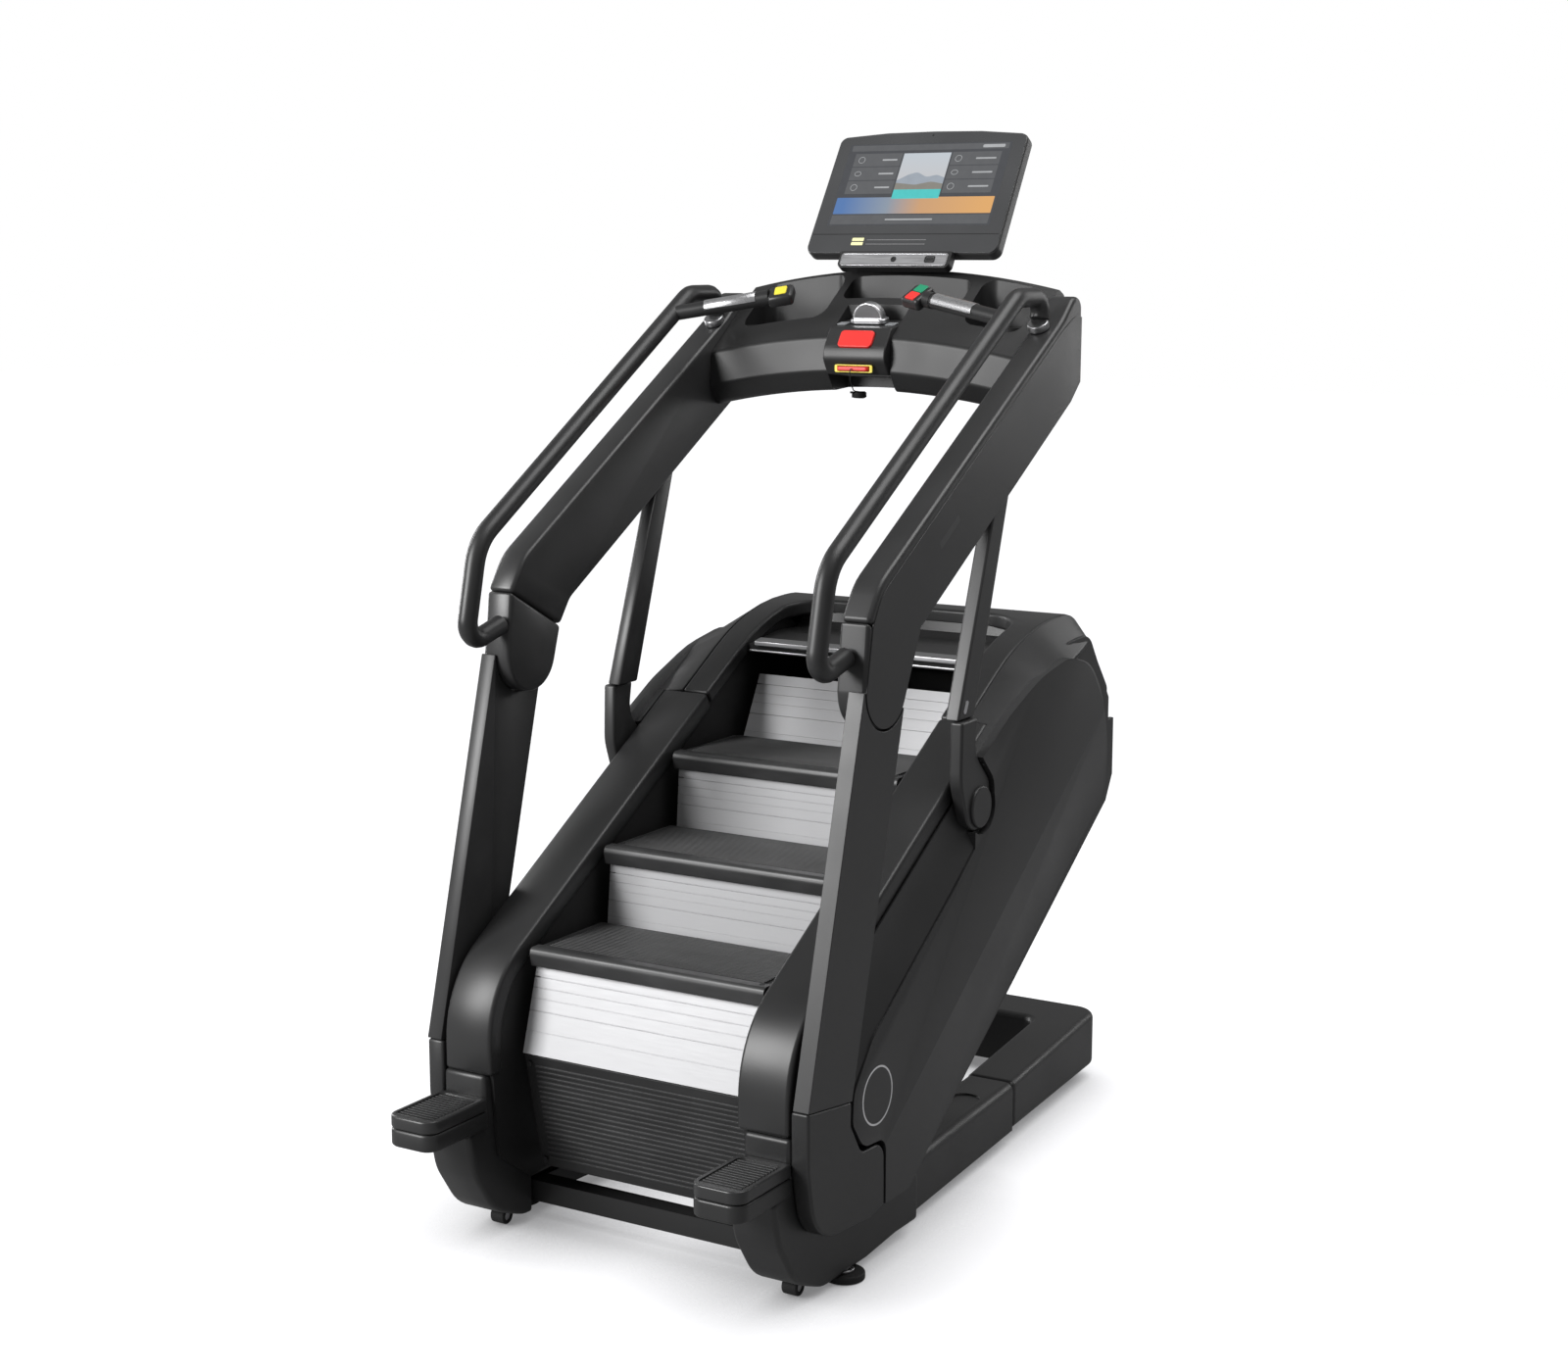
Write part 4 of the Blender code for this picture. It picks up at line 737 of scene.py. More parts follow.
# %% Entry pads
pad_plan = rounded([(0.3000, -0.300), (0.4160, -0.300), (0.4160, -0.1196), (0.3000, -0.1196)],
                   [0.030, 0.030, 0.006, 0.006], 8)
PAD_RUBBER = moulded("pad_rubber", 0.026, 0.34, grain=900.0, depth=0.03)
pad = slab("pad_right", pad_plan, SHELF_TOP - PAD, SHELF_TOP)
bevelled(pad, 0.004, 3, 50.0)
field_plan = rounded([(0.3105, -0.286), (0.4055, -0.286), (0.4055, -0.135), (0.3105, -0.135)], 0.014, 6)
combine(pad, slab("field_tool", field_plan, SHELF_TOP - 0.0035, SHELF_TOP + 0.01), "DIFFERENCE")
smooth(bevelled(pad, 0.0008, 2, 50.0))
rib = cutter("pad_ribs_right", (0.3145, -0.2830, SHELF_TOP - 0.0038), (0.4015, -0.2782, SHELF_TOP - 0.0004))
bevelled(rib, 0.0012, 2)
ribs = [copy_of(rib, "rib", (0.0, i * 0.0110, 0.0)) for i in range(1, 13)]
rib = smooth(join_all("pad_ribs_right", [rib] + ribs))
for piece, names in ((pad, ("pad_left", "entry_pad_left", "entry_pad_right")), (rib, ("pad_ribs_left", None, None))):
    if names[1]:
        place_piece(mirrored(piece, names[0]), PAD_RUBBER, names[1])
        place_piece(piece, PAD_RUBBER, names[2])
    else:
        place_piece(mirrored(piece, names[0]), PAD_RUBBER, body="machine_body")
        place_piece(piece, PAD_RUBBER, body="machine_body")

# %% [markdown]
# ## Base covers
# The base is a flat U on the floor.  Its covers are open underneath, so each is drawn in plan,
# pulled up, rounded generously, and then hollowed by deleting the bottom and giving the rest a
# wall.  The front pair has a shallow oval recess on top.


# %% Base covers
def base_edge(y):
    """Half width of the base, which narrows evenly towards the rear."""
    return 0.410 + (0.303 - 0.410) * (y - 0.100) / 1.430


def hollowed(obj, wall):
    """The bottom deleted and a wall put inside."""
    pick(obj)
    for face in obj.data.polygons:
        face.select = face.normal.z < -0.95
    for edge in obj.data.edges:
        edge.select = False
    bpy.ops.object.mode_set(mode="EDIT")
    bpy.ops.mesh.select_mode(type="FACE")
    bpy.ops.mesh.delete(type="FACE")
    bpy.ops.mesh.select_mode(type="VERT")
    bpy.ops.object.mode_set(mode="OBJECT")
    modifier = obj.modifiers.new("wall", "SOLIDIFY")
    modifier.thickness = wall
    modifier.offset = -1.0
    return apply_last(obj)


FRONT_SEAM, MIDDLE_SEAM, REAR_Y, ARM = 0.3925, 0.9700, 1.530, 0.122
side_plan = [(base_edge(FRONT_SEAM), FRONT_SEAM), (base_edge(MIDDLE_SEAM), MIDDLE_SEAM),
             (base_edge(MIDDLE_SEAM) - ARM, MIDDLE_SEAM), (base_edge(FRONT_SEAM) - ARM, FRONT_SEAM)]
side_cover = slab("base_side_right", side_plan, 0.030, 0.142)
for face in side_cover.data.polygons:
    face.select = False
modifier = side_cover.modifiers.new("edge", "BEVEL")
modifier.width, modifier.segments, modifier.limit_method = 0.020, 5, "WEIGHT"
weights = side_cover.data.attributes.new("bevel_weight_edge", "FLOAT", "EDGE")
for edge in side_cover.data.edges:
    a, b = (side_cover.data.vertices[i].co for i in edge.vertices)
    along = abs(a.y - b.y) > 0.3
    weights.data[edge.index].value = 1.0 if along and a.z > 0.1 and b.z > 0.1 else 0.0
apply_last(side_cover)
hollowed(side_cover, 0.005)
oval = slab("oval_tool", rounded([(0.283, 0.590), (0.347, 0.585), (0.330, 0.850), (0.262, 0.860)], 0.030, 8),
            0.1385, 0.160)
combine(side_cover, oval, "DIFFERENCE")
smooth(bevelled(side_cover, 0.0015, 2, 50.0))
place_piece(mirrored(side_cover, "base_side_left"), COVER, "base_cover_left")
place_piece(side_cover, COVER, "base_cover_right")

# %% Rear base cover
start = MIDDLE_SEAM + 0.0010
back = REAR_Y - 0.135
u_plan = rounded([(base_edge(start), start), (base_edge(REAR_Y), REAR_Y), (-base_edge(REAR_Y), REAR_Y),
                  (-base_edge(start), start), (-(base_edge(start) - ARM), start), (-(base_edge(back) - ARM), back),
                  (base_edge(back) - ARM, back), (base_edge(start) - ARM, start)],
                 [0.0, 0.055, 0.055, 0.0, 0.0, 0.030, 0.030, 0.0], 8)
rear_cover = slab("base_rear", u_plan, 0.030, 0.142)
for vertex in rear_cover.data.vertices:
    vertex.select = vertex.co.z > 0.141
pick(rear_cover)
bpy.ops.object.mode_set(mode="EDIT")
bpy.ops.mesh.select_mode(type="VERT")
bpy.ops.object.mode_set(mode="OBJECT")
for vertex in rear_cover.data.vertices:
    if vertex.co.z > 0.141:
        vertex.co.z += 0.024 * (vertex.co.y - NOSE_Y - start) / (REAR_Y - start)
bevelled(rear_cover, 0.016, 5, 50.0)
hollowed(rear_cover, 0.005)
smooth(rear_cover)
place_piece(rear_cover, COVER, "base_rear_cover")
print("base done")

# %% [markdown]
# ## Uprights and boots
# Two leaning plates carry the arms.  Their upper end is a round seat for the arm's joint, and
# their foot stands in a curved boot that meets the side panel's tail.

# %% Uprights
KNUCKLE, KNUCKLE_R = (0.172, 1.178), 0.082
seat = arc(KNUCKLE, KNUCKLE_R + 0.0020, 178, 325, 30)
upright = plate("upright_post_right", [(-0.119, 0.4162), (0.0842, 1.1810)] + seat + [(0.045, 0.3932)],
                0.4170, 0.4520)
smooth(bevelled(upright, 0.005, 3, 50.0))
place_piece(mirrored(upright, "upright_post_left"), UPRIGHT, "upright_left")
place_piece(upright, UPRIGHT, "upright_right")

# %% Boots of the uprights
boot_view = rounded([(-0.119, 0.4152), (0.045, 0.3922), (0.0430, 0.345), (0.085, 0.2780), (0.1740, 0.2740),
                     (0.1760, 0.1440), (0.1250, 0.1320), (-0.090, 0.150), (-0.119, 0.300)],
                    [0.0, 0.0, 0.02, 0.03, 0.035, 0.0, 0.0, 0.10, 0.08], 10)
boot = plate("upright_shoe_right", boot_view, 0.4125, 0.4520)
smooth(bevelled(boot, 0.006, 3, 50.0))
place_piece(mirrored(boot, "upright_shoe_left"), COVER, "upright_boot_left")
place_piece(boot, COVER, "upright_boot_right")

# %% [markdown]
# ## Arms
# The arms start at the round joint, climb with the handrail and turn up into the console.  Each is
# two mouldings, the joint cover below and the arm itself, with a narrow gap between them.  The
# long parting line near the arm's front edge is worked out here, because the outer skin that
# follows ends on it.

# %% Arms
SEAM_FRONT, SEAM_REAR = (0.105, 1.312), (0.272, 1.222)
arm_view = rounded([SEAM_FRONT, (0.150, 1.380), (0.935, 1.8506), (0.985, 1.895), (1.030, 1.915),
                    (1.030, 1.715), (0.985, 1.676), (0.310, 1.274), SEAM_REAR],
                   [0.0, 0.12, 0.20, 0.0, 0.026, 0.05, 0.05, 0.05, 0.0], 10)
arm = plate("arm_moulding_right", arm_view, 0.3860, 0.4505)
parting = bent([(0.1170, 1.300), (0.1500, 1.358), (0.9300, 1.8300), (0.985, 1.858), (1.050, 1.866)],
               [0.10, 0.10, 0.08], 8)
bevelled(arm, 0.010, 4, 50.0)
smooth(arm)
place_piece(mirrored(arm, "arm_moulding_left"), COVER_LIGHT, "arm_left")
place_piece(arm, COVER_LIGHT, "arm_right")

# %% Joint covers
along_seam = (Vector(SEAM_FRONT) - Vector(SEAM_REAR)).normalized()
lower = Vector((along_seam.y, -along_seam.x))
lower = (lower if lower.y < 0 else -lower) * 0.0014
joint_view = [tuple(Vector(SEAM_FRONT) + lower)] + arc(KNUCKLE, KNUCKLE_R, 178, 340, 32) \
    + [tuple(Vector(SEAM_REAR) + lower)]
joint = plate("joint_cover_right", joint_view, 0.3860, 0.4500)
smooth(bevelled(joint, 0.008, 4, 50.0))
place_piece(mirrored(joint, "joint_cover_left"), COVER_LIGHT, body="machine_body")
place_piece(joint, COVER_LIGHT, body="machine_body")

# %% [markdown]
# The outer side of arm and joint is one long skin that lies on both of them.  Its front edge is
# the thin parting line that runs along the whole arm, and its lower end is the round joint.

# %% Outer skins of the arms
skin_view = [p for p in reversed(parting) if p[0] < 1.024] + arc(KNUCKLE, KNUCKLE_R - 0.0030, 184, 338, 30) \
    + [(0.3010, 1.2640), (0.3070, 1.2790), (0.3160, 1.2830), (0.9780, 1.6790), (1.0240, 1.7200), (1.0260, 1.8580)]
skin = plate("arm_skin_right", skin_view, 0.4480, 0.4519)
smooth(bevelled(skin, 0.0012, 2, 50.0), 24.0)
place_piece(mirrored(skin, "arm_skin_left"), COVER_LIGHT, body="machine_body")
place_piece(skin, COVER_LIGHT, body="machine_body")
badge = plate("arm_badge", rounded([(0.3880, 1.4215), (0.4670, 1.4700), (0.4600, 1.4830), (0.3810, 1.4345)],
                                   0.0006, 2), 0.4516, 0.45198)
BADGE_GREY = moulded("badge_grey", 0.050, 0.30)
place_piece(badge, BADGE_GREY, body="machine_body")

# %% [markdown]
# ## Struts
# Behind the uprights a flat strut rises from each side panel to the arm.  Its foot is a curved boot
# that ends in a round cap, lying in a shallow recess of the panel.

# %% Struts and their boots
strut = plate("strut_bar_right", [(0.5045, 1.0565), (0.655, 1.4720), (0.728, 1.5170), (0.5755, 1.0565)],
              0.4020, 0.4340)
smooth(bevelled(strut, 0.005, 3, 50.0))
place_piece(mirrored(strut, "strut_bar_left"), UPRIGHT, "strut_left")
place_piece(strut, UPRIGHT, "strut_right")
strut_boot = plate("strut_shoe_right", strut_boot_outline(), 0.4150, 0.4440)
smooth(bevelled(strut_boot, 0.006, 4, 50.0))
place_piece(mirrored(strut_boot, "strut_shoe_left"), COVER, "strut_boot_left")
place_piece(strut_boot, COVER, "strut_boot_right")
boss = roller("strut_cap_right", (0.4442, 0.5865, 0.8665), 0.0440, 0.0120, sides=64)
smooth(bevelled(boss, 0.004, 4))
place_piece(mirrored(boss, "strut_cap_left"), COVER, body="machine_body")
place_piece(boss, COVER, body="machine_body")
inset = plate("strut_inset_right", rounded([(0.5230, 1.0690), (0.5370, 1.0690), (0.5500, 1.0950), (0.5360, 1.0950)],
                                           0.005, 5), 0.4335, 0.4350)
smooth(inset)
place_piece(mirrored(inset, "strut_inset_left"), SATIN, body="machine_body")
place_piece(inset, SATIN, body="machine_body")

# %% [markdown]
# ## Handrails
# One bent tube per side: it leaves the arm near the console on a short post, runs forward and down
# above the arm, turns back at its lower end and ends at the joint.  A second, shorter tube branches
# inwards as the pulse grip.  A curve with a round section is the natural tool, turned into a mesh
# afterwards.

# %% Handrail tubes
TUBE_R, RAIL_X = 0.0205, 0.407
RAIL_LINE = bent([(0.9092, 1.8555), (0.9240, 1.9010), (0.8000, 1.9010), (0.0210, 1.4200), (-0.0280, 1.2130),
                  (0.0900, 1.2440)], [0.034, 0.060, 0.110, 0.034], 12)
GRIP_ROOT = Vector((RAIL_X, 0.733 + NOSE_Y, 1.8597))
GRIP_TIP = Vector((0.196, 0.799 + NOSE_Y, 1.8960))
GRIP_LENGTH = (GRIP_TIP - GRIP_ROOT).length


def tube_along(name, points, radius, resolution=6):
    """A round tube along a line of points."""
    deselect()
    bpy.ops.curve.primitive_bezier_curve_add()
    obj = bpy.context.object
    obj.name = name
    obj.matrix_world = Matrix.Identity(4)
    curve = obj.data
    curve.splines.clear()
    spline = curve.splines.new("POLY")
    spline.points.add(len(points) - 1)
    for spot, place in zip(spline.points, points):
        spot.co = (*place, 1.0)
    curve.bevel_depth = radius
    curve.bevel_resolution = resolution
    curve.use_fill_caps = True
    curve.resolution_u = 1
    bpy.ops.object.convert(target="MESH")
    obj.data.name = name
    bpy.ops.object.mode_set(mode="EDIT")
    bpy.ops.mesh.select_all(action="SELECT")
    bpy.ops.mesh.remove_doubles(threshold=0.00001)
    bpy.ops.mesh.normals_make_consistent(inside=False)
    bpy.ops.object.mode_set(mode="OBJECT")
    return smooth(obj, 60.0)


def grip_point(distance):
    """A point on the middle line of the grip, counted from the handrail."""
    return GRIP_ROOT + (GRIP_TIP - GRIP_ROOT).normalized() * distance


rail = tube_along("rail_tube_right", [(RAIL_X, y + NOSE_Y, z) for y, z in RAIL_LINE], TUBE_R)
grip = tube_along("grip_tube", [grip_point(d) for d in (0.006, 0.08, 0.16, GRIP_LENGTH)], 0.0165)
rail = join_all("rail_tube_right", [rail, grip])
place_piece(mirrored(rail, "rail_tube_left"), GRIP, "handrail_left")
place_piece(rail, GRIP, "handrail_right")

# %% Collars and pulse sensors
def turned_to(obj, matrix):
    """Put a shape made about the origin where it belongs."""
    obj.matrix_world = matrix
    return settle(obj)


def grip_place(distance):
    """X runs inwards along the grip and Z is the grip's upper side."""
    along = (GRIP_TIP - GRIP_ROOT).normalized()
    up = Vector((0.0, -0.55, 0.83))
    up = (up - along * up.dot(along)).normalized()
    third = up.cross(along)
    matrix = Matrix((along, third, up)).transposed().to_4x4()
    matrix.translation = grip_point(distance)
    return matrix


post = roller("post_collar_right", (0.0, 0.0, 0.0), 0.0230, 0.0160, "Z")
post.data.transform(Matrix.Translation((0.0, -NOSE_Y, 0.0)))
smooth(bevelled(post, 0.003, 3))
turned_to(post, Matrix.Translation((RAIL_X, 0.9034 + NOSE_Y, 1.8421)) @ Matrix.Rotation(SLOPE, 4, "X"))
sensor_view = [(0.0180 * math.cos(a), 0.0180 * math.sin(a))
               for a in [math.radians(20 + 140 * i / 20) for i in range(21)]]
sensor_view += [(0.0160 * math.cos(a), 0.0160 * math.sin(a))
                for a in [math.radians(160 - 140 * i / 20) for i in range(21)]]
sensor = plate("sensor_plate_right", [(y - NOSE_Y, z) for y, z in sensor_view], 0.078, 0.196)
smooth(bevelled(sensor, 0.0006, 2, 60.0))
turned_to(sensor, grip_place(0.0))
end_ring = tube_along("grip_ring_right", [(d, 0.0, 0.0) for d in (0.0, 0.008, 0.016, 0.020)], 0.0176)
turned_to(end_ring, grip_place(GRIP_LENGTH - 0.0195))
for piece, twin, finish, slot in ((post, "post_collar_left", STEEL, "silver"),
                                  (sensor, "sensor_plate_left", SENSOR, "silver"),
                                  (end_ring, "grip_ring_left", GRIP, "rubber")):
    place_piece(mirrored(piece, twin), finish, body="machine_body")
    place_piece(piece, finish, body="machine_body")

# %% [markdown]
# ## Thumb controls
# At the inner end of each grip sits a small rounded housing.  The right one has a green and a red
# key, the left one a single yellow key with a round dark lens.  Keys move, so each is its own piece.

# %% Thumb controls
def thumb_housing(name, half, reach, cells):
    """A rounded housing with pockets for its keys, wider across the grip than along it."""
    shape = rounded([(-half, -0.0155), (half, -0.0155), (half, 0.0128), (-half, 0.0128)], 0.0095, 6)
    housing = plate(name, [(y - NOSE_Y, z) for y, z in shape], 0.0010, reach)
    bevelled(housing, 0.007, 4, 50.0)
    for start, end, near, far in cells:
        pocket = slab("pocket_tool", [(x, y - NOSE_Y) for x, y in
                                      rounded([(start, near), (end, near), (end, far), (start, far)], 0.004, 4)],
                      0.0078, 0.030)
        combine(housing, pocket, "DIFFERENCE")
    smooth(housing)
    return turned_to(housing, grip_place(GRIP_LENGTH))


def key_cap(name, start, end, near, far):
    """One rounded key in its pocket."""
    plan = rounded([(start, near), (end, near), (end, far), (start, far)], 0.0036, 4)
    key = slab(name, [(x, y - NOSE_Y) for x, y in plan], 0.0099, 0.0147)
    bevelled(key, 0.0012, 3, 50.0)
    smooth(key)
    return turned_to(key, grip_place(GRIP_LENGTH))


right_housing = thumb_housing("thumb_housing_right", 0.0298, 0.0520,
                              ((0.0120, 0.0400, -0.0260, -0.0010), (0.0120, 0.0400, 0.0010, 0.0260)))
place_piece(right_housing, COVER, "remote_right")
place_piece(key_cap("go_key", 0.0124, 0.0396, -0.0256, -0.0014), GREEN, "go_button")
place_piece(key_cap("halt_key", 0.0124, 0.0396, 0.0014, 0.0256), RED, "halt_button")
left_housing = thumb_housing("thumb_housing", 0.0258, 0.0560, ((0.0160, 0.0440, -0.0150, 0.0150),))
left_twin = mirrored(left_housing, "thumb_housing_left")
bpy.data.objects.remove(left_housing, do_unlink=True)
place_piece(left_twin, COVER, "remote_left")
mode_cap = key_cap("mode_cap", 0.0164, 0.0436, -0.0146, 0.0146)
mode_twin = mirrored(mode_cap, "mode_key")
bpy.data.objects.remove(mode_cap, do_unlink=True)
place_piece(mode_twin, YELLOW, "mode_button")
print("superstructure done")

# %% [markdown]
# ## Treads
# Three moving steps show, each with a ribbed top, a rounded lip in a slightly lighter grey, and a
# metal riser under it.  The tread's side view holds the lip and the slanting front; the fine
# ribs that stop a shoe from slipping run across it and are made once and copied.

# %% Tread shapes
TREAD_SIZE = 0.2800


def worn(name, tone, worn_tone, roughness):
    """Tread plastic that is paler where shoes rub it."""
    material = moulded(name, tone, roughness, grain=900.0, depth=0.18)
    tree = material.node_tree
    shader = tree.nodes["Principled BSDF"]
    marks = noise(tree, 26.0, 5.0, (0.35, 1.0, 1.0))
    scuff = ramp(tree, marks, "Fac", 0.42, 0.78, grey(tone * 0.9), grey(worn_tone))
    link(tree, scuff, "Color", shader, "Base Color")
    return material


TREAD_TOP = worn("tread_top", 0.018, 0.030, 0.50)
LIP = worn("tread_lip", 0.034, 0.050, 0.40)
LIP_DARK = worn("kick_face", 0.016, 0.026, 0.48)

for number in (1, 2, 3):
    low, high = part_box(f"tread_{number}")
    print("tread", number, [round(v, 4) for v in low], [round(v, 4) for v in high])

# %% Treads with their lips and ribs
LEAN = {1: (0.052, 0.170), 2: (0.016, 0.150), 3: (0.012, 0.150)}
for number in (1, 2, 3):
    low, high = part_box(f"tread_{number}")
    y, z, back = low[1] - NOSE_Y, high[2], high[1] - NOSE_Y
    view = rounded([(y + 0.0004, z - 0.0140), (y + 0.0060, z - 0.0402), (y + 0.046, z - 0.0402),
                    (y + 0.046, z - 0.026), (back - 0.0006, z - 0.026), (back - 0.0006, z - 0.0050),
                    (y + 0.036, z - 0.0050), (y + 0.032, z - 0.0004), (y + 0.004, z - 0.0004)],
                   [0.010, 0.004, 0.0, 0.0, 0.0, 0.0, 0.0, 0.001, 0.0100], 6)
    tread = plate(f"step_{number}_tread", view, -TREAD_SIZE + 0.0006, TREAD_SIZE - 0.0006)
    smooth(bevelled(tread, 0.0022, 2, 50.0))
    place_piece(tread, LIP, f"tread_{number}")
    field = plate(f"step_{number}_field", [(y + 0.0372, z - 0.0060), (y + 0.0372, z - 0.0046),
                                           (back - 0.0010, z - 0.0046), (back - 0.0010, z - 0.0060)],
                  -TREAD_SIZE + 0.0080, TREAD_SIZE - 0.0080)
    place_piece(field, TREAD_TOP, body=f"step_{number}")
    field_end = min(back - 0.012, y + 0.250)
    first = cutter(f"step_{number}_ribs", (-TREAD_SIZE + 0.022, y + 0.0400, z - 0.0052),
                   (TREAD_SIZE - 0.022, y + 0.0446, z - 0.0004))
    bevelled(first, 0.0012, 2)
    ribs = [first]
    while y + 0.0400 + len(ribs) * 0.0088 < field_end:
        ribs.append(copy_of(first, "rib", (0.0, len(ribs) * 0.0088, 0.0)))
    ribs = smooth(join_all(f"step_{number}_ribs", ribs))
    place_piece(ribs, TREAD_TOP, body=f"step_{number}")

# %% Corner plugs of the treads
plug = roller("tread_plug", (0.0, 0.0, 0.0), 0.0062, 0.0016, "Z", 32)
smooth(bevelled(plug, 0.0008, 2))
for number in (1, 2, 3):
    low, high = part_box(f"tread_{number}")
    for side in (-1, 1):
        spot = (side * (TREAD_SIZE - 0.018), low[1] + 0.0240, high[2] - 0.0008)
        piece = copy_of(plug, f"tread_plug_{number}_{'left' if side < 0 else 'right'}",
                        (spot[0], spot[1] - NOSE_Y * 1.0, spot[2]))
        place_piece(piece, FOOT_RUBBER, body=f"step_{number}")
bpy.data.objects.remove(plug, do_unlink=True)

# %% [markdown]
# ## Risers
# The risers are rolled aluminium sheets with a few fine horizontal grooves, which show as soft
# grey lines.  The grooves belong to the side view: at five places the front line dips inwards by
# up to two and a half millimetres and comes straight back, so each one is a real narrow channel.

# %% Risers
GROOVES = (0.13, 0.25, 0.37, 0.51, 0.74)
RISER_HALF = 0.2757          # half a riser's width


def riser_line(top, foot):
    """The front of a riser from top to foot, with its grooves."""
    top, foot = Vector(top), Vector(foot)
    inwards = Vector((top.y - foot.y, foot.x - top.x)).normalized()
    if inwards.x < 0:
        inwards = -inwards
    line = [top]
    for share, depth in zip(GROOVES, (0.0024, 0.0016, 0.0008, 0.0022, 0.0006)):
        middle = top.lerp(foot, share)
        along = (foot - top).normalized()
        line += [middle - along * 0.0011, middle - along * 0.0006 + inwards * depth,
                 middle + along * 0.0006 + inwards * depth, middle + along * 0.0011]
    return [tuple(p) for p in line + [foot]], inwards


def riser(number, top, foot, half):
    """A grooved sheet with the thickness of the real profile."""
    front, inwards = riser_line(top, foot)
    back = [tuple(Vector(p) + inwards * 0.0085) for p in (foot, top)]
    outline = front + back
    piece = plate(f"riser_sheet_{number}", outline, -half, half)
    notch = Vector(top).lerp(Vector(foot), GROOVES[0])
    combine(piece, cutter("notch_tool", (-half - 0.01, notch.x - 0.02, notch.y - 0.0012),
                          (-half + 0.0130, notch.x + 0.02, notch.y + 0.0012)), "DIFFERENCE")
    smooth(piece, 25.0)
    place_piece(piece, RISER_METAL, f"riser_{number}")
    return piece


for number in (1, 2, 3):
    low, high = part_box(f"tread_{number}")
    y, z = low[1] - NOSE_Y, high[2]
    lean, height = LEAN[number]
    riser(number, (y + 0.0203, z - 0.0405), (y + 0.0203 - lean, z - 0.043 - height), RISER_HALF)
riser(4, (0.8863, 1.0395), (0.7985, 0.8735), RISER_HALF)

# %% [markdown]
# ## Folding kick tread
# Below the lowest tread hangs the next step on its way round: a dark ribbed block that folds as it
# passes the entry.  Its many narrow ribs are drawn in the side view, because they run the whole
# width and catch the light as thin lines.

# %% Kick tread
low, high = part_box("kick_tread")
print("kick box", low, high)
hinge, tip = Vector((-0.026, 0.383)), Vector((0.029, 0.128))
along = (tip - hinge).normalized()
front_way = Vector((along.y, -along.x))
if front_way.x > 0:
    front_way = -front_way
length = (tip - hinge).length
kick_view = [tuple(hinge - front_way * 0.0030), tuple(tip - front_way * 0.0030),
             tuple(tip - front_way * 0.0385), tuple(tip - front_way * 0.0385 - along * 0.028),
             tuple(tip - front_way * 0.0250 - along * 0.033), tuple(hinge - front_way * 0.0250)]
kick = plate("folding_tread", kick_view, -TREAD_SIZE + 0.0005, TREAD_SIZE - 0.0005)
smooth(bevelled(kick, 0.0030, 3, 50.0))
place_piece(kick, LIP_DARK, "kick_tread")
first = plate("kick_ribs", rounded([tuple(hinge + along * 0.0200 - front_way * 0.0040),
                                    tuple(hinge + along * 0.0262 - front_way * 0.0040),
                                    tuple(hinge + along * 0.0250 - front_way * 0.0006),
                                    tuple(hinge + along * 0.0212 - front_way * 0.0006)], 0.0006, 2),
              -TREAD_SIZE + 0.0260, TREAD_SIZE - 0.0260)
kick_ribs = [first]
while 0.0200 + len(kick_ribs) * 0.0118 < length - 0.022:
    far = along * len(kick_ribs) * 0.0118
    kick_ribs.append(copy_of(first, "rib", (0.0, far.x, far.y)))
kick_ribs = smooth(join_all("kick_ribs", kick_ribs))
place_piece(kick_ribs, LIP, body="kick_step")
for side in (-1, 1):
    for share in (0.07, 0.93):
        spot = hinge + along * length * share
        stud = roller(f"kick_stud_{side + 2}_{int(share * 100)}",
                      (side * (TREAD_SIZE - 0.0140), spot.x - 0.0006, spot.y), 0.0060, 0.0044, "Y", 24)
        place_piece(smooth(bevelled(stud, 0.0008, 2)), FOOT_RUBBER, body="kick_step")
print("steps done")

# %% [markdown]
# ## Console
# The console is a wide tray whose front bows towards the user in the middle.  It is drawn once in
# side view at the left end and pulled across in short strips, each a little lower than the last
# towards the ends, which gives the slight arch.  The bottle pockets, the shelf and the bay for the
# control pod are then sunk into it with helper shapes.

# %% Console tray
HALF_CONSOLE, DROP = 0.3850, 0.042
CONSOLE_VIEW = rounded([(0.8505, 1.738), (0.8565, 1.812), (0.950, 1.8845), (1.050, 1.9575), (1.0775, 1.944),
                        (1.0755, 1.790), (1.000, 1.7025), (0.880, 1.6945)],
                       [0.014, 0.016, 0.03, 0.010, 0.008, 0.03, 0.03, 0.02], 5)


def arched_x(x):
    """How far the console has dropped at this distance from its middle."""
    return DROP * (x / HALF_CONSOLE) ** 2


columns = 22
console = draw_loop("console_tray",
                    [(-HALF_CONSOLE, y + NOSE_Y, z - arched_x(HALF_CONSOLE)) for y, z in CONSOLE_VIEW])
for column in range(columns):
    x = -HALF_CONSOLE + 2 * HALF_CONSOLE * (column + 1) / columns
    before = x - 2 * HALF_CONSOLE / columns
    pull((x - before, 0.0, arched_x(before) - arched_x(x)))
close_up(console)


def sunk(name, x_start, x_end, y_start, y_end, floor, radius, top=2.05):
    """A rounded pocket tool that reaches up out of the console."""
    plan = rounded([(x_start, y_start), (x_end, y_start), (x_end, y_end), (x_start, y_end)], radius, 8)
    return slab(name, plan, floor, top)


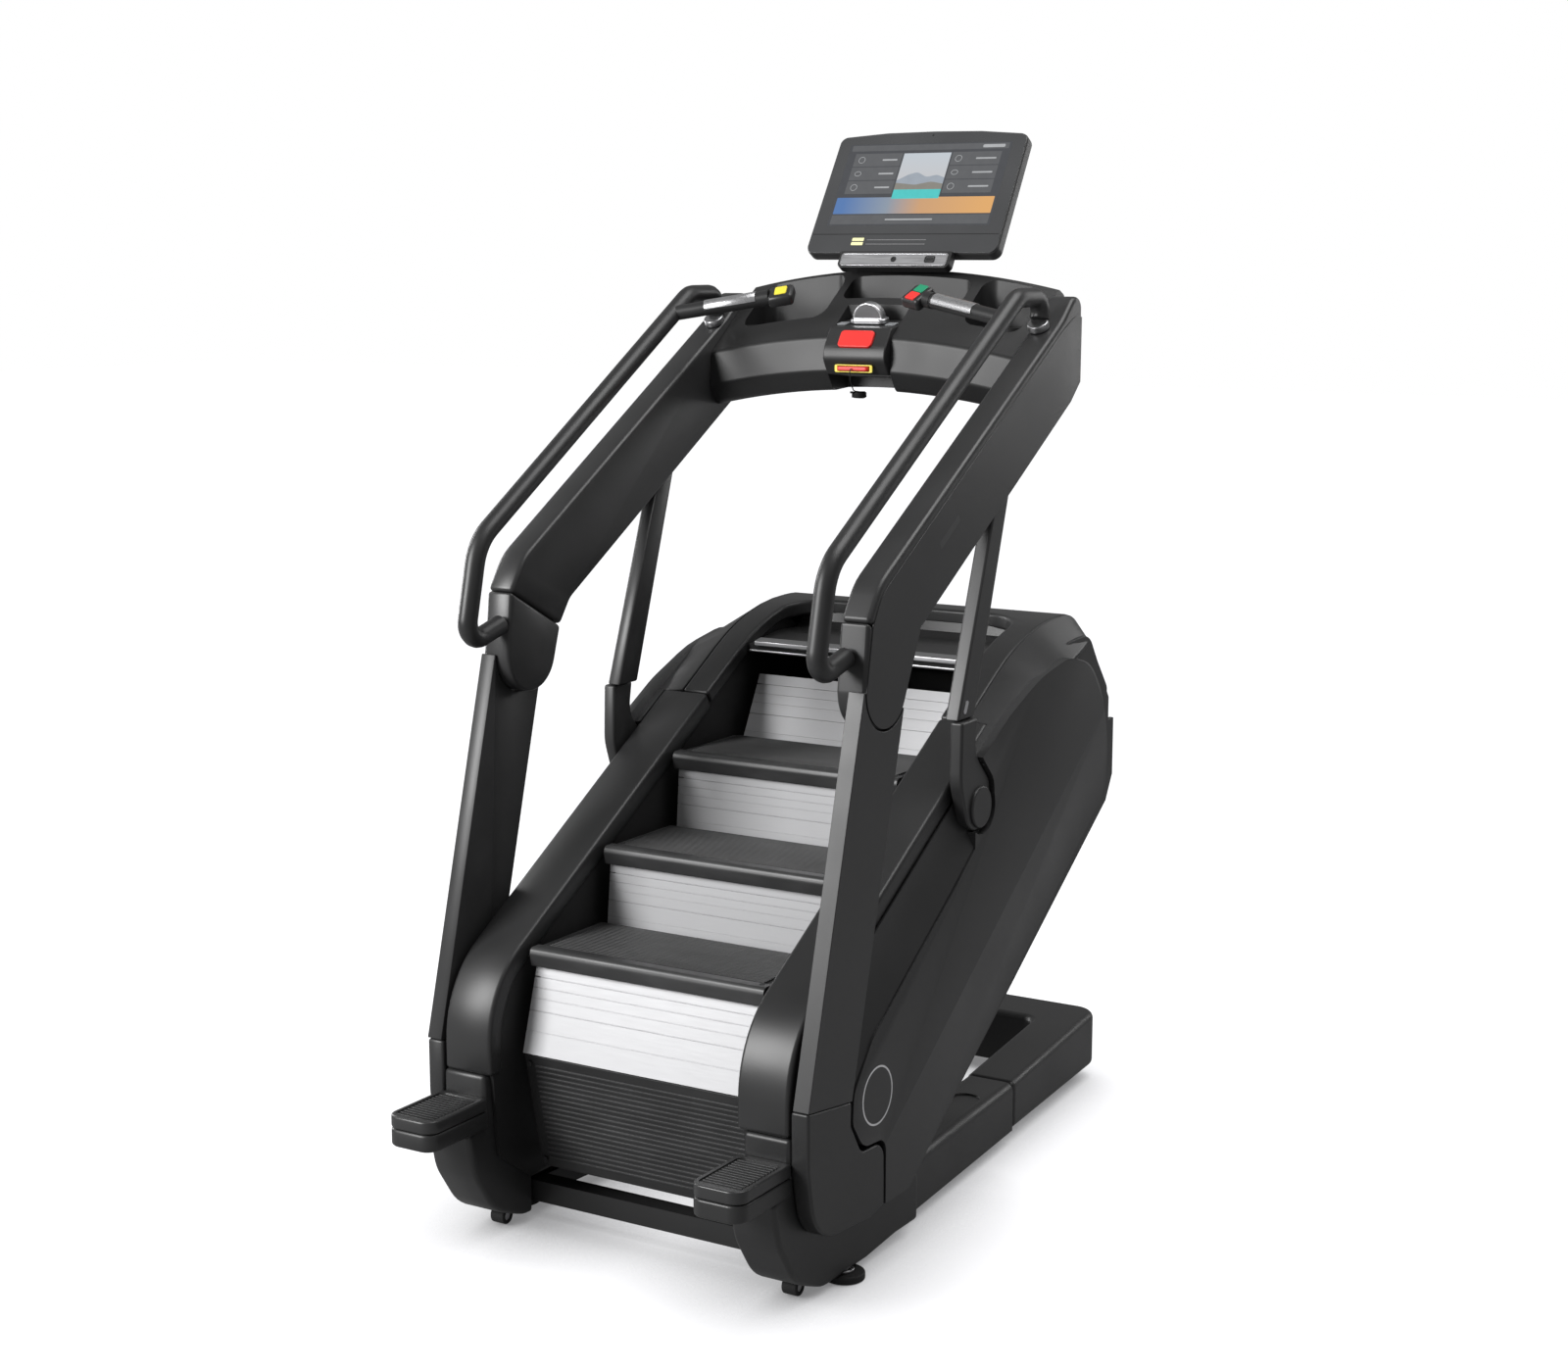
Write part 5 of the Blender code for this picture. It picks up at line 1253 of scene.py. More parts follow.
combine(console, sunk("bay_tool", -0.0786, 0.0786, 0.800, 0.945, 1.60, 0.002), "DIFFERENCE")
combine(console, sunk("left_pocket_tool", -0.345, -0.130, 0.915, 1.040, 1.7700, 0.030), "DIFFERENCE")
combine(console, sunk("right_pocket_tool", 0.215, 0.355, 0.915, 1.040, 1.7750, 0.030), "DIFFERENCE")
combine(console, sunk("shelf_tool", -0.110, 0.190, 0.964, 1.030, 1.8500, 0.020), "DIFFERENCE")
smooth(bevelled(console, 0.0035, 3, 42.0), 42.0)
place_piece(console, CONSOLE_SKIN, "console")
print("console faces", len(console.data.polygons), [round(v, 3) for v in console.dimensions])


# %% Rims of the pockets
def rim(name, x_start, x_end, y_start, y_end, height, radius, wall=0.0035):
    """A thin raised lip around a pocket, lying on the sloping console."""
    outer = rounded([(x_start, y_start), (x_end, y_start), (x_end, y_end), (x_start, y_end)], radius, 8)
    ring = slab(name, outer, height, height + 0.060)
    inner = rounded([(x_start + wall, y_start + wall), (x_end - wall, y_start + wall),
                     (x_end - wall, y_end - wall), (x_start + wall, y_end - wall)], radius - wall, 8)
    combine(ring, slab("inner_tool", inner, height - 0.01, height + 0.2), "DIFFERENCE")
    smooth(bevelled(ring, 0.0012, 2, 50.0))
    return ring


for label, values in (("left_pocket_liner", (-0.3445, -0.1305, 0.9155, 1.0395, 1.7705, 0.0295)),
                      ("right_pocket_liner", (0.2155, 0.3545, 0.9155, 1.0395, 1.7755, 0.0295))):
    place_piece(rim(label, *values), INNER, body="machine_body")

# %% [markdown]
# ## Control pod
# A small housing stands in the middle of the console, below the screen.  It carries the round
# knob on top, the wide red stop paddle in front, a slot for the safety key underneath, and two
# small lights.

# %% Pod
pod_view = rounded([(0.8482, 1.7305), (0.8285, 1.7620), (0.8295, 1.7850), (0.8602, 1.8318), (0.9440, 1.8478),
                    (0.9440, 1.7205)], [0.010, 0.025, 0.045, 0.008, 0.004, 0.004], 8)
pod = plate("control_housing", pod_view, -0.0776, 0.0776)
bevelled(pod, 0.0040, 3, 50.0)
PADDLE_TURN = math.radians(90.0) - math.atan2(0.031, 0.047)
PADDLE_PLACE = Matrix.Translation((0.0, 0.8435 + NOSE_Y, 1.807)) @ Matrix.Rotation(PADDLE_TURN, 4, "X")
recess_plan = rounded([(-0.0425, -0.0215), (0.0425, -0.0215), (0.0425, 0.0215), (-0.0425, 0.0215)], 0.010, 6)
recess = slab("recess_tool", [(x, y - NOSE_Y) for x, y in recess_plan], -0.0079, 0.030)
turned_to(recess, PADDLE_PLACE)
combine(pod, recess, "DIFFERENCE")
slot_view = [(0.80, 1.7386), (0.866, 1.7386), (0.866, 1.7504), (0.80, 1.7504)]
combine(pod, plate("slot_tool", slot_view, -0.0400, 0.0400), "DIFFERENCE")
smooth(pod)
place_piece(pod, CONSOLE_SKIN, "control_pod")

# %% Stop paddle
paddle_plan = rounded([(-0.0419, -0.0209), (0.0419, -0.0209), (0.0419, 0.0209), (-0.0419, 0.0209)], 0.0095, 8)
paddle = slab("stop_key", [(x, y - NOSE_Y) for x, y in paddle_plan], -0.0039, 0.0049)
smooth(bevelled(paddle, 0.0022, 4, 50.0))
turned_to(paddle, PADDLE_PLACE)
place_piece(paddle, RED, "stop_paddle")

# %% Knob
KNOB_PLACE = Matrix.Translation((0.0, 0.904 + NOSE_Y, 1.8406)) @ Matrix.Rotation(math.atan2(0.016, 0.084), 4, "X")
dome = arc((0.0, 0.010), 0.0370, 0, 180, 32)
knob = draw_loop("speed_handle", [(x, -0.0108, z) for x, z in dome])
pull((0.0, 0.0216, 0.0))
close_up(knob)
bevelled(knob, 0.0035, 4, 50.0)
flange_plan = rounded([(-0.0440, -0.0185), (0.0440, -0.0185), (0.0440, 0.0185), (-0.0440, 0.0185)], 0.0145, 8)
flange = slab("knob_flange", [(x, y - NOSE_Y) for x, y in flange_plan], 0.0007, 0.0119)
bevelled(flange, 0.0028, 3, 50.0)
combine(knob, flange, "UNION")
smooth(knob)
turned_to(knob, KNOB_PLACE)
place_piece(knob, SATIN, "speed_knob")
knob_face = draw_loop("speed_handle_face", [(x * 0.86, -0.0112, 0.0130 + (z - 0.010) * 0.84) for x, z in dome])
pull((0.0, 0.0014, 0.0))
close_up(knob_face)
smooth(bevelled(knob_face, 0.0004, 1, 50.0))
turned_to(knob_face, KNOB_PLACE)
KNOB_GREY = metal("knob_face", 0.22, 0.34, streak=(1.0, 40.0, 40.0), contrast=0.05)
place_piece(knob_face, KNOB_GREY, body="knob")

# %% Pilot lights beside the paddle
LAMP_GLOW = moulded("pilot_window", (0.26, 0.27, 0.28), 0.25, spread=0.08)
for side in (-1, 1):
    plan = rounded([(-0.0115, -0.0115), (0.0115, -0.0115), (0.0115, 0.0115), (-0.0115, 0.0115)], 0.0030, 5)
    twin = slab(f"pilot_window_{'left' if side < 0 else 'right'}", [(x, y - NOSE_Y) for x, y in plan], 0.0002, 0.0026)
    smooth(bevelled(twin, 0.0004, 1, 50.0))
    turned_to(twin, KNOB_PLACE @ Matrix.Translation((side * 0.0600, -0.0120, 0.0)))
    place_piece(twin, LAMP_GLOW, body="machine_body")

# %% [markdown]
# ## Safety key and its cord
# A red key sits in a yellow slot under the pod.  A thin limp cord ties it to a clip that the user
# hooks on their clothes; it is put away in a small coil behind the key.  The cord is one curve
# with a round section along the same route as in the measured model: down from the key, then ten
# turns of one neat coil.

# %% Key
key = slab("key_grip", rounded([(-0.0384, 0.8216), (0.0384, 0.8216), (0.0384, 0.8659), (-0.0384, 0.8659)],
                               [0.006, 0.006, 0.002, 0.002], 6), 1.7402, 1.7489)
smooth(bevelled(key, 0.0016, 3, 50.0))
place_piece(key, RED, "safety_key")
collar_plan = rounded([(-0.0470, 1.7360), (0.0470, 1.7360), (0.0470, 1.7530), (-0.0470, 1.7530)], 0.004, 5)
collar = draw_loop("key_slot_frame", [(x, 0.8290 + NOSE_Y, z) for x, z in collar_plan])
pull((0.0, 0.0040, 0.0))
close_up(collar)
hole = cutter("hole_tool", (-0.0400, 0.80, 1.7387), (0.0400, 0.88, 1.7503))
combine(collar, hole, "DIFFERENCE")
smooth(bevelled(collar, 0.0008, 2, 50.0))
place_piece(collar, YELLOW, body="machine_body")

# %% Cord
CORD_R = 0.00125
CORD_ROUTE = [(0.0, 0.8205, 1.7440), (0.0006, 0.8150, 1.7425), (0.0018, 0.8112, 1.7370), (0.0022, 0.8112, 1.7290),
              (0.0016, 0.8142, 1.7190), (0.0008, 0.8200, 1.7100), (0.0002, 0.8270, 1.7020), (0.0, 0.8335, 1.6965)]
COIL = Vector((0.0, 0.8560, 1.6870))
TURN_R = (0.0126, 0.0153)
PITCH = 0.00258


def smooth_route(points, spacing):
    """Evenly spaced points on a smooth curve through the route's own points."""
    points = [Vector(p) for p in points]
    fine = []
    for index in range(len(points) - 1):
        before = points[max(index - 1, 0)]
        start, end = points[index], points[index + 1]
        after = points[min(index + 2, len(points) - 1)]
        for step in range(12):
            t = step / 12
            square = 2 * before - 5 * start + 4 * end - after
            cube = 3 * start - 3 * end + after - before
            fine.append(0.5 * (2 * start + (end - before) * t + square * t * t + cube * t ** 3))
    fine.append(points[-1])
    even, travelled = [fine[0]], 0.0
    for last, here in zip(fine, fine[1:]):
        travelled += (here - last).length
        if travelled >= spacing:
            even.append(here)
            travelled = 0.0
    return even


def winding(layer, turns, start_z, step_z, points_per_turn=24):
    """One layer of turns, from the right-hand side onwards."""
    spots = []
    for index in range(int(turns * points_per_turn) + 1):
        angle = 2 * math.pi * index / points_per_turn
        spots.append(COIL + Vector((TURN_R[layer] * math.cos(angle), TURN_R[layer] * math.sin(angle),
                                    start_z + step_z * index / points_per_turn)))
    return spots


lead_in = [*CORD_ROUTE, (0.0042, 0.8405, 1.6948), (0.0100, 0.8470, 1.6936)]
inner_turns = winding(0, 5, 0.0062, -PITCH)
outer_turns = winding(1, 4.6, -0.0067, PITCH)
cord_path = [Vector((x, y, z)) for x, y, z in lead_in] + inner_turns[1:-3]
cord_path = smooth_route(cord_path, 0.0026) + [inner_turns[-2], outer_turns[4]] + outer_turns[5:]
cord_path = [Vector((p.x, p.y + NOSE_Y, p.z)) for p in cord_path]
cord = tube_along("tether_cord", cord_path, CORD_R, 3)
place_piece(cord, SHADOW_BLACK, "safety_cord", stands_for=False)
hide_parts("safety_cord", "cord_coil")

# %% Clip at the cord's end
end, before_end = cord_path[-1], cord_path[-2]
ahead = (end - before_end).normalized()
clip_plan = rounded([(0.0, -0.0026), (0.0110, -0.0036), (0.0150, -0.0030), (0.0150, 0.0030), (0.0110, 0.0036),
                     (0.0, 0.0026)], [0.001, 0.001, 0.001, 0.001, 0.001, 0.001], 3)
clip = slab("garment_clip", [(x, y - NOSE_Y) for x, y in clip_plan], -0.0022, 0.0022)
smooth(bevelled(clip, 0.0006, 2, 50.0))
side_way = Vector((0.0, 0.0, 1.0)).cross(ahead).normalized()
clip_matrix = Matrix((ahead, side_way, ahead.cross(side_way))).transposed().to_4x4()
clip_matrix.translation = end - ahead * 0.0010
turned_to(clip, clip_matrix)
place_piece(clip, SHADOW_BLACK, body="key")

# %% [markdown]
# ## Display
# The screen is a flat slab with softly rounded corners and a top edge that is slightly bowed.  It
# leans back by almost a third of a right angle.  The picture on it is only plain shapes: dark
# tiles, a landscape of two hills in the middle one, a teal start button and a band that fades from
# blue to orange, each a thin pane lying on the glass.

# %% Display slab
DISPLAY_PLACE = Matrix.Translation((0.0, 1.028 + NOSE_Y, 1.992)) \
    @ Matrix.Rotation(math.pi / 2 - math.radians(31.7), 4, "X")
HALF_W, TALL, THICK, ARCH = 0.2420, 0.3218, 0.0340, 0.0120


def display_outline(inset=0.0, radius=0.020):
    """The display's outline in its own plane, pulled in by a distance."""
    half, top = HALF_W - inset, TALL - inset
    corners = [(-half, inset), (half, inset), (half - 0.003, top - ARCH), (half * 0.5, top - 0.002), (0.0, top),
               (-half * 0.5, top - 0.002), (-half + 0.003, top - ARCH)]
    return rounded(corners, [radius, radius, radius, 0.0, 0.0, 0.0, radius], 8)


def on_display(name, outline, low, high, soft=0.0, steps=2):
    """A pane with an outline in the display's plane, between two heights above the glass."""
    pane = slab(name, [(x, y - NOSE_Y) for x, y in outline], low, high)
    if soft:
        bevelled(pane, soft, steps, 50.0)
    smooth(pane)
    return turned_to(pane, DISPLAY_PLACE)


# Painted reflection: the dark glass is given a lighter grey that stands for the reflection on it.
GLASS_PAINTED_REFLECTION = moulded("bezel_glass", (0.055, 0.056, 0.058), 0.22, grain=900.0, depth=0.01, spread=0.08)
BACK_SHELL = moulded("display_back_plastic", 0.032, 0.42)
case = on_display("display_case", display_outline(), -THICK, -0.0016, 0.007, 4)
place_piece(case, BACK_SHELL, "display")
glass = on_display("display_glass", display_outline(0.0022, 0.018), -0.0030, -0.0007, 0.0008, 2)
place_piece(glass, GLASS_PAINTED_REFLECTION, body="machine_body")

# %% [markdown]
# The picture gives off its own light, so its materials are emission with a little gloss over it.

# %% Screen materials
def lit(name, colour, strength=0.85, roughness=0.25):
    """A glowing pane under glass."""
    material, tree, shader = network(name)
    grainy = noise(tree, 60.0, 2.0)
    tint = ramp(tree, grainy, "Fac", 0.3, 0.7, tuple(c * 0.96 for c in colour), tuple(min(1.0, c * 1.04)
                                                                                    for c in colour))
    link(tree, tint, "Color", shader, "Emission Color")
    shader.inputs["Emission Strength"].default_value = strength
    shader.inputs["Base Color"].default_value = (0.01, 0.01, 0.012, 1.0)
    shader.inputs["Roughness"].default_value = roughness
    return material


def lit_fade(name, stops, across, centre, width, strength=0.85):
    """A glowing band whose colour runs along one axis."""
    material, tree, shader = network(name)
    coordinates = tree.nodes.new("ShaderNodeTexCoord")
    mapping = tree.nodes.new("ShaderNodeMapping")
    mapping.inputs["Location"].default_value = tuple(-c for c in centre)
    link(tree, coordinates, "Object", mapping, "Vector")
    axes = tree.nodes.new("ShaderNodeSeparateXYZ")
    link(tree, mapping, "Vector", axes, "Vector")
    spread = tree.nodes.new("ShaderNodeMapRange")
    spread.inputs["From Min"].default_value = -width / 2
    spread.inputs["From Max"].default_value = width / 2
    link(tree, axes, across, spread, "Value")
    node = tree.nodes.new("ShaderNodeValToRGB")
    while len(node.color_ramp.elements) < len(stops):
        node.color_ramp.elements.new(0.5)
    for element, (position, colour) in zip(node.color_ramp.elements, stops):
        element.position = position
        element.color = (*colour, 1.0)
    link(tree, spread, "Result", node, "Fac")
    link(tree, node, "Color", shader, "Emission Color")
    shader.inputs["Emission Strength"].default_value = strength
    shader.inputs["Base Color"].default_value = (0.01, 0.01, 0.012, 1.0)
    shader.inputs["Roughness"].default_value = 0.25
    return material


DARK_PAGE = lit("page_dark", (0.060, 0.063, 0.068), 1.0)
TILE = lit("page_tile", (0.105, 0.108, 0.112), 1.0)
TILE_LINE = lit("page_line", (0.42, 0.43, 0.44), 1.0)
TEAL = lit("page_teal", (0.075, 0.56, 0.54), 1.0)
SKY = lit_fade("page_sky", [(0.0, (0.66, 0.62, 0.60)), (1.0, (0.62, 0.68, 0.74))], "Z", (0.0, 0.0, 2.16), 0.12)
HILL_FAR = lit("page_far_hill", (0.33, 0.37, 0.42), 1.0)
HILL_NEAR = lit("page_near_hill", (0.24, 0.23, 0.20), 1.0)
BAND = lit_fade("page_band", [(0.0, (0.10, 0.22, 0.50)), (0.32, (0.30, 0.36, 0.44)), (0.55, (0.70, 0.40, 0.20)),
                              (1.0, (0.86, 0.46, 0.16))], "X", (0.0, 0.0, 0.0), 0.36)


# %% Panes of the picture
def box_outline(x_start, x_end, y_start, y_end, radius=0.0015):
    """A rectangle with slightly rounded corners in the display's plane."""
    return rounded([(x_start, y_start), (x_end, y_start), (x_end, y_end), (x_start, y_end)], radius, 4)


PANES = [("page", DARK_PAGE, box_outline(-0.206, 0.206, 0.072, 0.288, 0.002), -0.0009, -0.0005),
         ("page_header", TILE, box_outline(-0.200, 0.200, 0.270, 0.285), -0.0007, -0.0004),
         ("page_pill", TILE_LINE, box_outline(0.135, 0.190, 0.2735, 0.2815, 0.003), -0.0005, -0.0002),
         ("page_band", BAND, box_outline(-0.200, 0.200, 0.103, 0.146), -0.0007, -0.0004),
         ("page_message", TILE, box_outline(-0.200, 0.200, 0.076, 0.100), -0.0007, -0.0004),
         ("page_message_line", TILE_LINE, box_outline(-0.060, 0.060, 0.0860, 0.0895, 0.001), -0.0005, -0.0002),
         ("page_sky", SKY, box_outline(-0.060, 0.060, 0.166, 0.262, 0.0005), -0.0007, -0.0004),
         ("page_start", TEAL, box_outline(-0.060, 0.060, 0.142, 0.166, 0.0005), -0.0006, -0.0003)]
for row in range(3):
    foot = 0.156 + row * 0.0365
    PANES.append((f"page_tile_left_{row}", TILE, box_outline(-0.186, -0.064, foot, foot + 0.034), -0.0006, -0.0003))
    PANES.append((f"page_tile_right_{row}", TILE, box_outline(0.064, 0.186, foot, foot + 0.034), -0.0006, -0.0003))
    PANES.append((f"page_word_left_{row}", TILE_LINE,
                  box_outline(-0.112, -0.074, foot + 0.0145, foot + 0.0185, 0.001), -0.0004, -0.0001))
    PANES.append((f"page_word_right_{row}", TILE_LINE,
                  box_outline(0.126, 0.176, foot + 0.0145, foot + 0.0185, 0.001), -0.0004, -0.0001))
for name, finish, outline, low_z, high_z in PANES:
    place_piece(on_display(name, outline, low_z, high_z), finish, body="machine_body")

# %% Landscape and icons
far_hill = [(-0.060, 0.166), (0.060, 0.166), (0.060, 0.196), (0.040, 0.204), (0.014, 0.198), (-0.012, 0.212),
            (-0.034, 0.205), (-0.060, 0.190)]
near_hill = [(-0.060, 0.166), (0.060, 0.166), (0.060, 0.180), (0.030, 0.186), (-0.010, 0.178), (-0.060, 0.184)]
far_hill = rounded(far_hill, [0, 0, 0, 0.02, 0.02, 0.02, 0.02, 0], 6)
place_piece(on_display("page_far_hill", far_hill, -0.0005, -0.00025), HILL_FAR, body="machine_body")
place_piece(on_display("page_near_hill", rounded(near_hill, [0, 0, 0, 0.03, 0.03, 0], 6), -0.0004, -0.0001),
            HILL_NEAR, body="machine_body")


def icon_ring(name, x, y, radius, flat=1.0):
    """A thin ring drawn by a turned outline."""
    outer = [(x + radius * math.cos(a), y + radius * flat * math.sin(a))
             for a in [2 * math.pi * i / 32 for i in range(32)]]
    inner = [(x + (radius - 0.0011) * math.cos(a), y + (radius * flat - 0.0011) * math.sin(a))
             for a in [2 * math.pi * i / 32 for i in range(32)]]
    ring = slab(name, [(px, py - NOSE_Y) for px, py in outer], -0.0004, -0.0001)
    combine(ring, slab("inner_tool", [(px, py - NOSE_Y) for px, py in inner], -0.002, 0.002), "DIFFERENCE")
    return turned_to(ring, DISPLAY_PLACE)


for row in range(3):
    for side in (-1, 1):
        x = -0.166 if side < 0 else 0.082
        ring = icon_ring(f"page_icon_{'left' if side < 0 else 'right'}_{row}", x, 0.173 + row * 0.0365, 0.0085,
                         (1.0, 0.75, 1.0)[row])
        place_piece(ring, TILE_LINE, body="machine_body")

# %% Lower strip of the bezel
# Painted shade: a near-black strip lying on the glass stands for the shade inside the bezel's groove.
GROOVE_PAINTED_SHADE = moulded("bezel_groove", 0.002, 0.5)
LABEL = moulded("blank_label", (0.80, 0.78, 0.42), 0.5, spread=0.05)
place_piece(on_display("bezel_groove", box_outline(-0.236, 0.236, 0.0490, 0.0505, 0.0005), -0.0008, -0.0004),
            GROOVE_PAINTED_SHADE, body="machine_body")
for name, x_start, x_end, y_start, y_end in (("bezel_label_1", -0.128, -0.098, 0.032, 0.040),
                                             ("bezel_label_2", -0.128, -0.098, 0.021, 0.029)):
    place_piece(on_display(name, box_outline(x_start, x_end, y_start, y_end, 0.001), -0.0008, -0.0003), LABEL,
                body="machine_body")
FINE_PRINT = moulded("bezel_mark", 0.20, 0.4)
for row in range(2):
    place_piece(on_display(f"bezel_mark_{row}", box_outline(-0.090, 0.060, 0.034 - row * 0.011, 0.0355 - row * 0.011,
                                                           0.0005), -0.0008, -0.0004), FINE_PRINT,
                body="machine_body")
camera_dot = on_display("camera_dot", [(0.0026 * math.cos(a), 0.3095 + 0.0026 * math.sin(a)) for a in
                                       [2 * math.pi * i / 24 for i in range(24)]], -0.0009, -0.0003, 0.0002, 1)
place_piece(camera_dot, SHADOW_BLACK, body="machine_body")

# %% [markdown]
# ## Port bar and neck
# Under the screen hangs a flat bar with a bright frame; it has a round socket in the middle and a
# rectangular one at the right.  Behind it a wedge-shaped neck carries the screen on the console.

# %% Port bar
NECK = rounded([(1.0562, 1.9660), (1.0790, 1.9530), (1.0790, 1.8802), (1.1050, 1.8902), (1.1698, 2.0998),
                (1.1362, 2.1014), (1.1166, 2.0692), (1.0722, 1.9900)],
               [0.0, 0.0, 0.004, 0.012, 0.012, 0.0, 0.0, 0.02], 5)
neck = plate("display_neck", NECK, -0.0698, 0.0698)
smooth(bevelled(neck, 0.006, 3, 40.0))
place_piece(neck, CONSOLE_SKIN, "display_mount")
bar = on_display("port_bar", rounded([(-0.1408, -0.0428), (0.1408, -0.0428), (0.1408, -0.0008), (-0.1408, -0.0008)],
                                     [0.012, 0.012, 0.002, 0.002], 8), -0.0119, 0.0104, 0.003, 3)
place_piece(bar, CONSOLE_SKIN, body="machine_body")
FACE_OUT = rounded([(-0.1345, -0.0385), (0.1345, -0.0385), (0.1345, -0.0065), (-0.1345, -0.0065)], 0.007, 8)
FACE_IN = rounded([(-0.1315, -0.0355), (0.1315, -0.0355), (0.1315, -0.0095), (-0.1315, -0.0095)], 0.005, 8)
frame_ring = slab("port_frame", [(x, y - NOSE_Y) for x, y in FACE_OUT], 0.0100, 0.0119)
combine(frame_ring, slab("inner_tool", [(x, y - NOSE_Y) for x, y in FACE_IN], 0.005, 0.02), "DIFFERENCE")
smooth(bevelled(frame_ring, 0.0006, 2, 50.0))
turned_to(frame_ring, DISPLAY_PLACE)
place_piece(frame_ring, SATIN, body="machine_body")
PORT_FACE = metal("port_face", 0.46, 0.45, streak=(1.0, 30.0, 30.0), contrast=0.06)
face = slab("port_face", [(x, y - NOSE_Y) for x, y in FACE_IN], 0.0090, 0.0110)
usb = slab("usb_tool", [(x, y - NOSE_Y) for x, y in box_outline(0.082, 0.100, -0.0270, -0.0180, 0.002)], 0.004, 0.02)
combine(face, usb, "DIFFERENCE")
jack_tool = slab("jack_tool", [(0.0040 * math.cos(a), -0.0225 - NOSE_Y + 0.0040 * math.sin(a)) for a in
                               [2 * math.pi * i / 24 for i in range(24)]], 0.004, 0.02)
combine(face, jack_tool, "DIFFERENCE")
smooth(face)
turned_to(face, DISPLAY_PLACE)
place_piece(face, PORT_FACE, body="machine_body")

# %% Sockets
def ring_piece(name, outer, inner, low_z, high_z):
    """A flat ring between two outlines in the display's plane."""
    ring = slab(name, [(x, y - NOSE_Y) for x, y in outer], low_z, high_z)
    combine(ring, slab("inner_tool", [(x, y - NOSE_Y) for x, y in inner], low_z - 0.01, high_z + 0.01), "DIFFERENCE")
    smooth(bevelled(ring, 0.0003, 1, 50.0))
    return turned_to(ring, DISPLAY_PLACE)


def circle(x, y, radius, sides=32):
    """A circle's outline in the display's plane."""
    return [(x + radius * math.cos(2 * math.pi * i / sides), y + radius * math.sin(2 * math.pi * i / sides))
            for i in range(sides)]


place_piece(ring_piece("jack_ring", circle(0.0, -0.0225, 0.0068), circle(0.0, -0.0225, 0.0042), 0.0105, 0.0119),
            SHADOW_BLACK, body="machine_body")
place_piece(ring_piece("usb_frame", box_outline(0.078, 0.104, -0.0310, -0.0140, 0.004),
                       box_outline(0.0815, 0.1005, -0.0275, -0.0175, 0.002), 0.0105, 0.0119),
            SHADOW_BLACK, body="machine_body")
tongue_view = box_outline(0.0850, 0.0970, -0.0245, -0.0215, 0.0003)
place_piece(on_display("usb_tongue", tongue_view, 0.0060, 0.0100, 0.0002, 1), STEEL, body="machine_body")
print("display done")

# %% [markdown]
# ## Feet, wheels and what shows of the inside
# The remaining parts of the measured model have the right shape already and only need a finish:
# the frame inside, the shafts, chains and brake, the base bar and the plates between the covers.

# %% Feet and wheels
for side, name in ((-1, "left"), (1, "right")):
    low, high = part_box(f"levelling_foot_{name}")
    centre = ((low[0] + high[0]) / 2, (low[1] + high[1]) / 2 - NOSE_Y)
    puck = roller(f"foot_puck_{name}", (centre[0], centre[1], 0.0080), 0.0415, 0.0155, "Z", 64)
    smooth(bevelled(puck, 0.0035, 4))
    place_piece(puck, FOOT_RUBBER, f"levelling_foot_{name}")
    stem = roller(f"foot_stem_{name}", (centre[0], centre[1], (0.0155 + high[2]) / 2 - 0.0002), 0.0078,
                  high[2] - 0.0155 - 0.0008, "Z", 32)
    smooth(bevelled(stem, 0.0008, 2))
    nut = roller(f"foot_nut_{name}", (centre[0], centre[1], 0.0290), 0.0135, 0.0090, "Z", 6)
    smooth(bevelled(nut, 0.0012, 2))
    collar_piece = roller(f"foot_cup_{name}", (centre[0], centre[1], 0.0185), 0.0200, 0.0060, "Z", 48)
    smooth(bevelled(collar_piece, 0.0020, 3))
    for piece in (stem, nut, collar_piece):
        place_piece(piece, STEEL, body="machine_body")
    low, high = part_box(f"transport_wheel_{name}")
    middle = [(a + b) / 2 for a, b in zip(low, high)]
    wheel = roller(f"wheel_tyre_{name}", (middle[0], middle[1] - NOSE_Y, middle[2]), (high[2] - low[2]) / 2 - 0.0001,
                   high[0] - low[0] - 0.0004, "X", 64)
    bevelled(wheel, 0.0030, 3)
    combine(wheel, roller("hub_tool", (middle[0], middle[1] - NOSE_Y, middle[2]), 0.0100, 0.1, "X", 48), "DIFFERENCE")
    smooth(wheel)
    place_piece(wheel, FOOT_RUBBER, f"transport_wheel_{name}")
    hub = roller(f"wheel_hub_{name}", (middle[0], middle[1] - NOSE_Y, middle[2]), 0.0102, high[0] - low[0] - 0.004,
                 "X", 48)
    smooth(bevelled(hub, 0.0015, 2))
    place_piece(hub, SATIN, body=f"wheel_{name}")

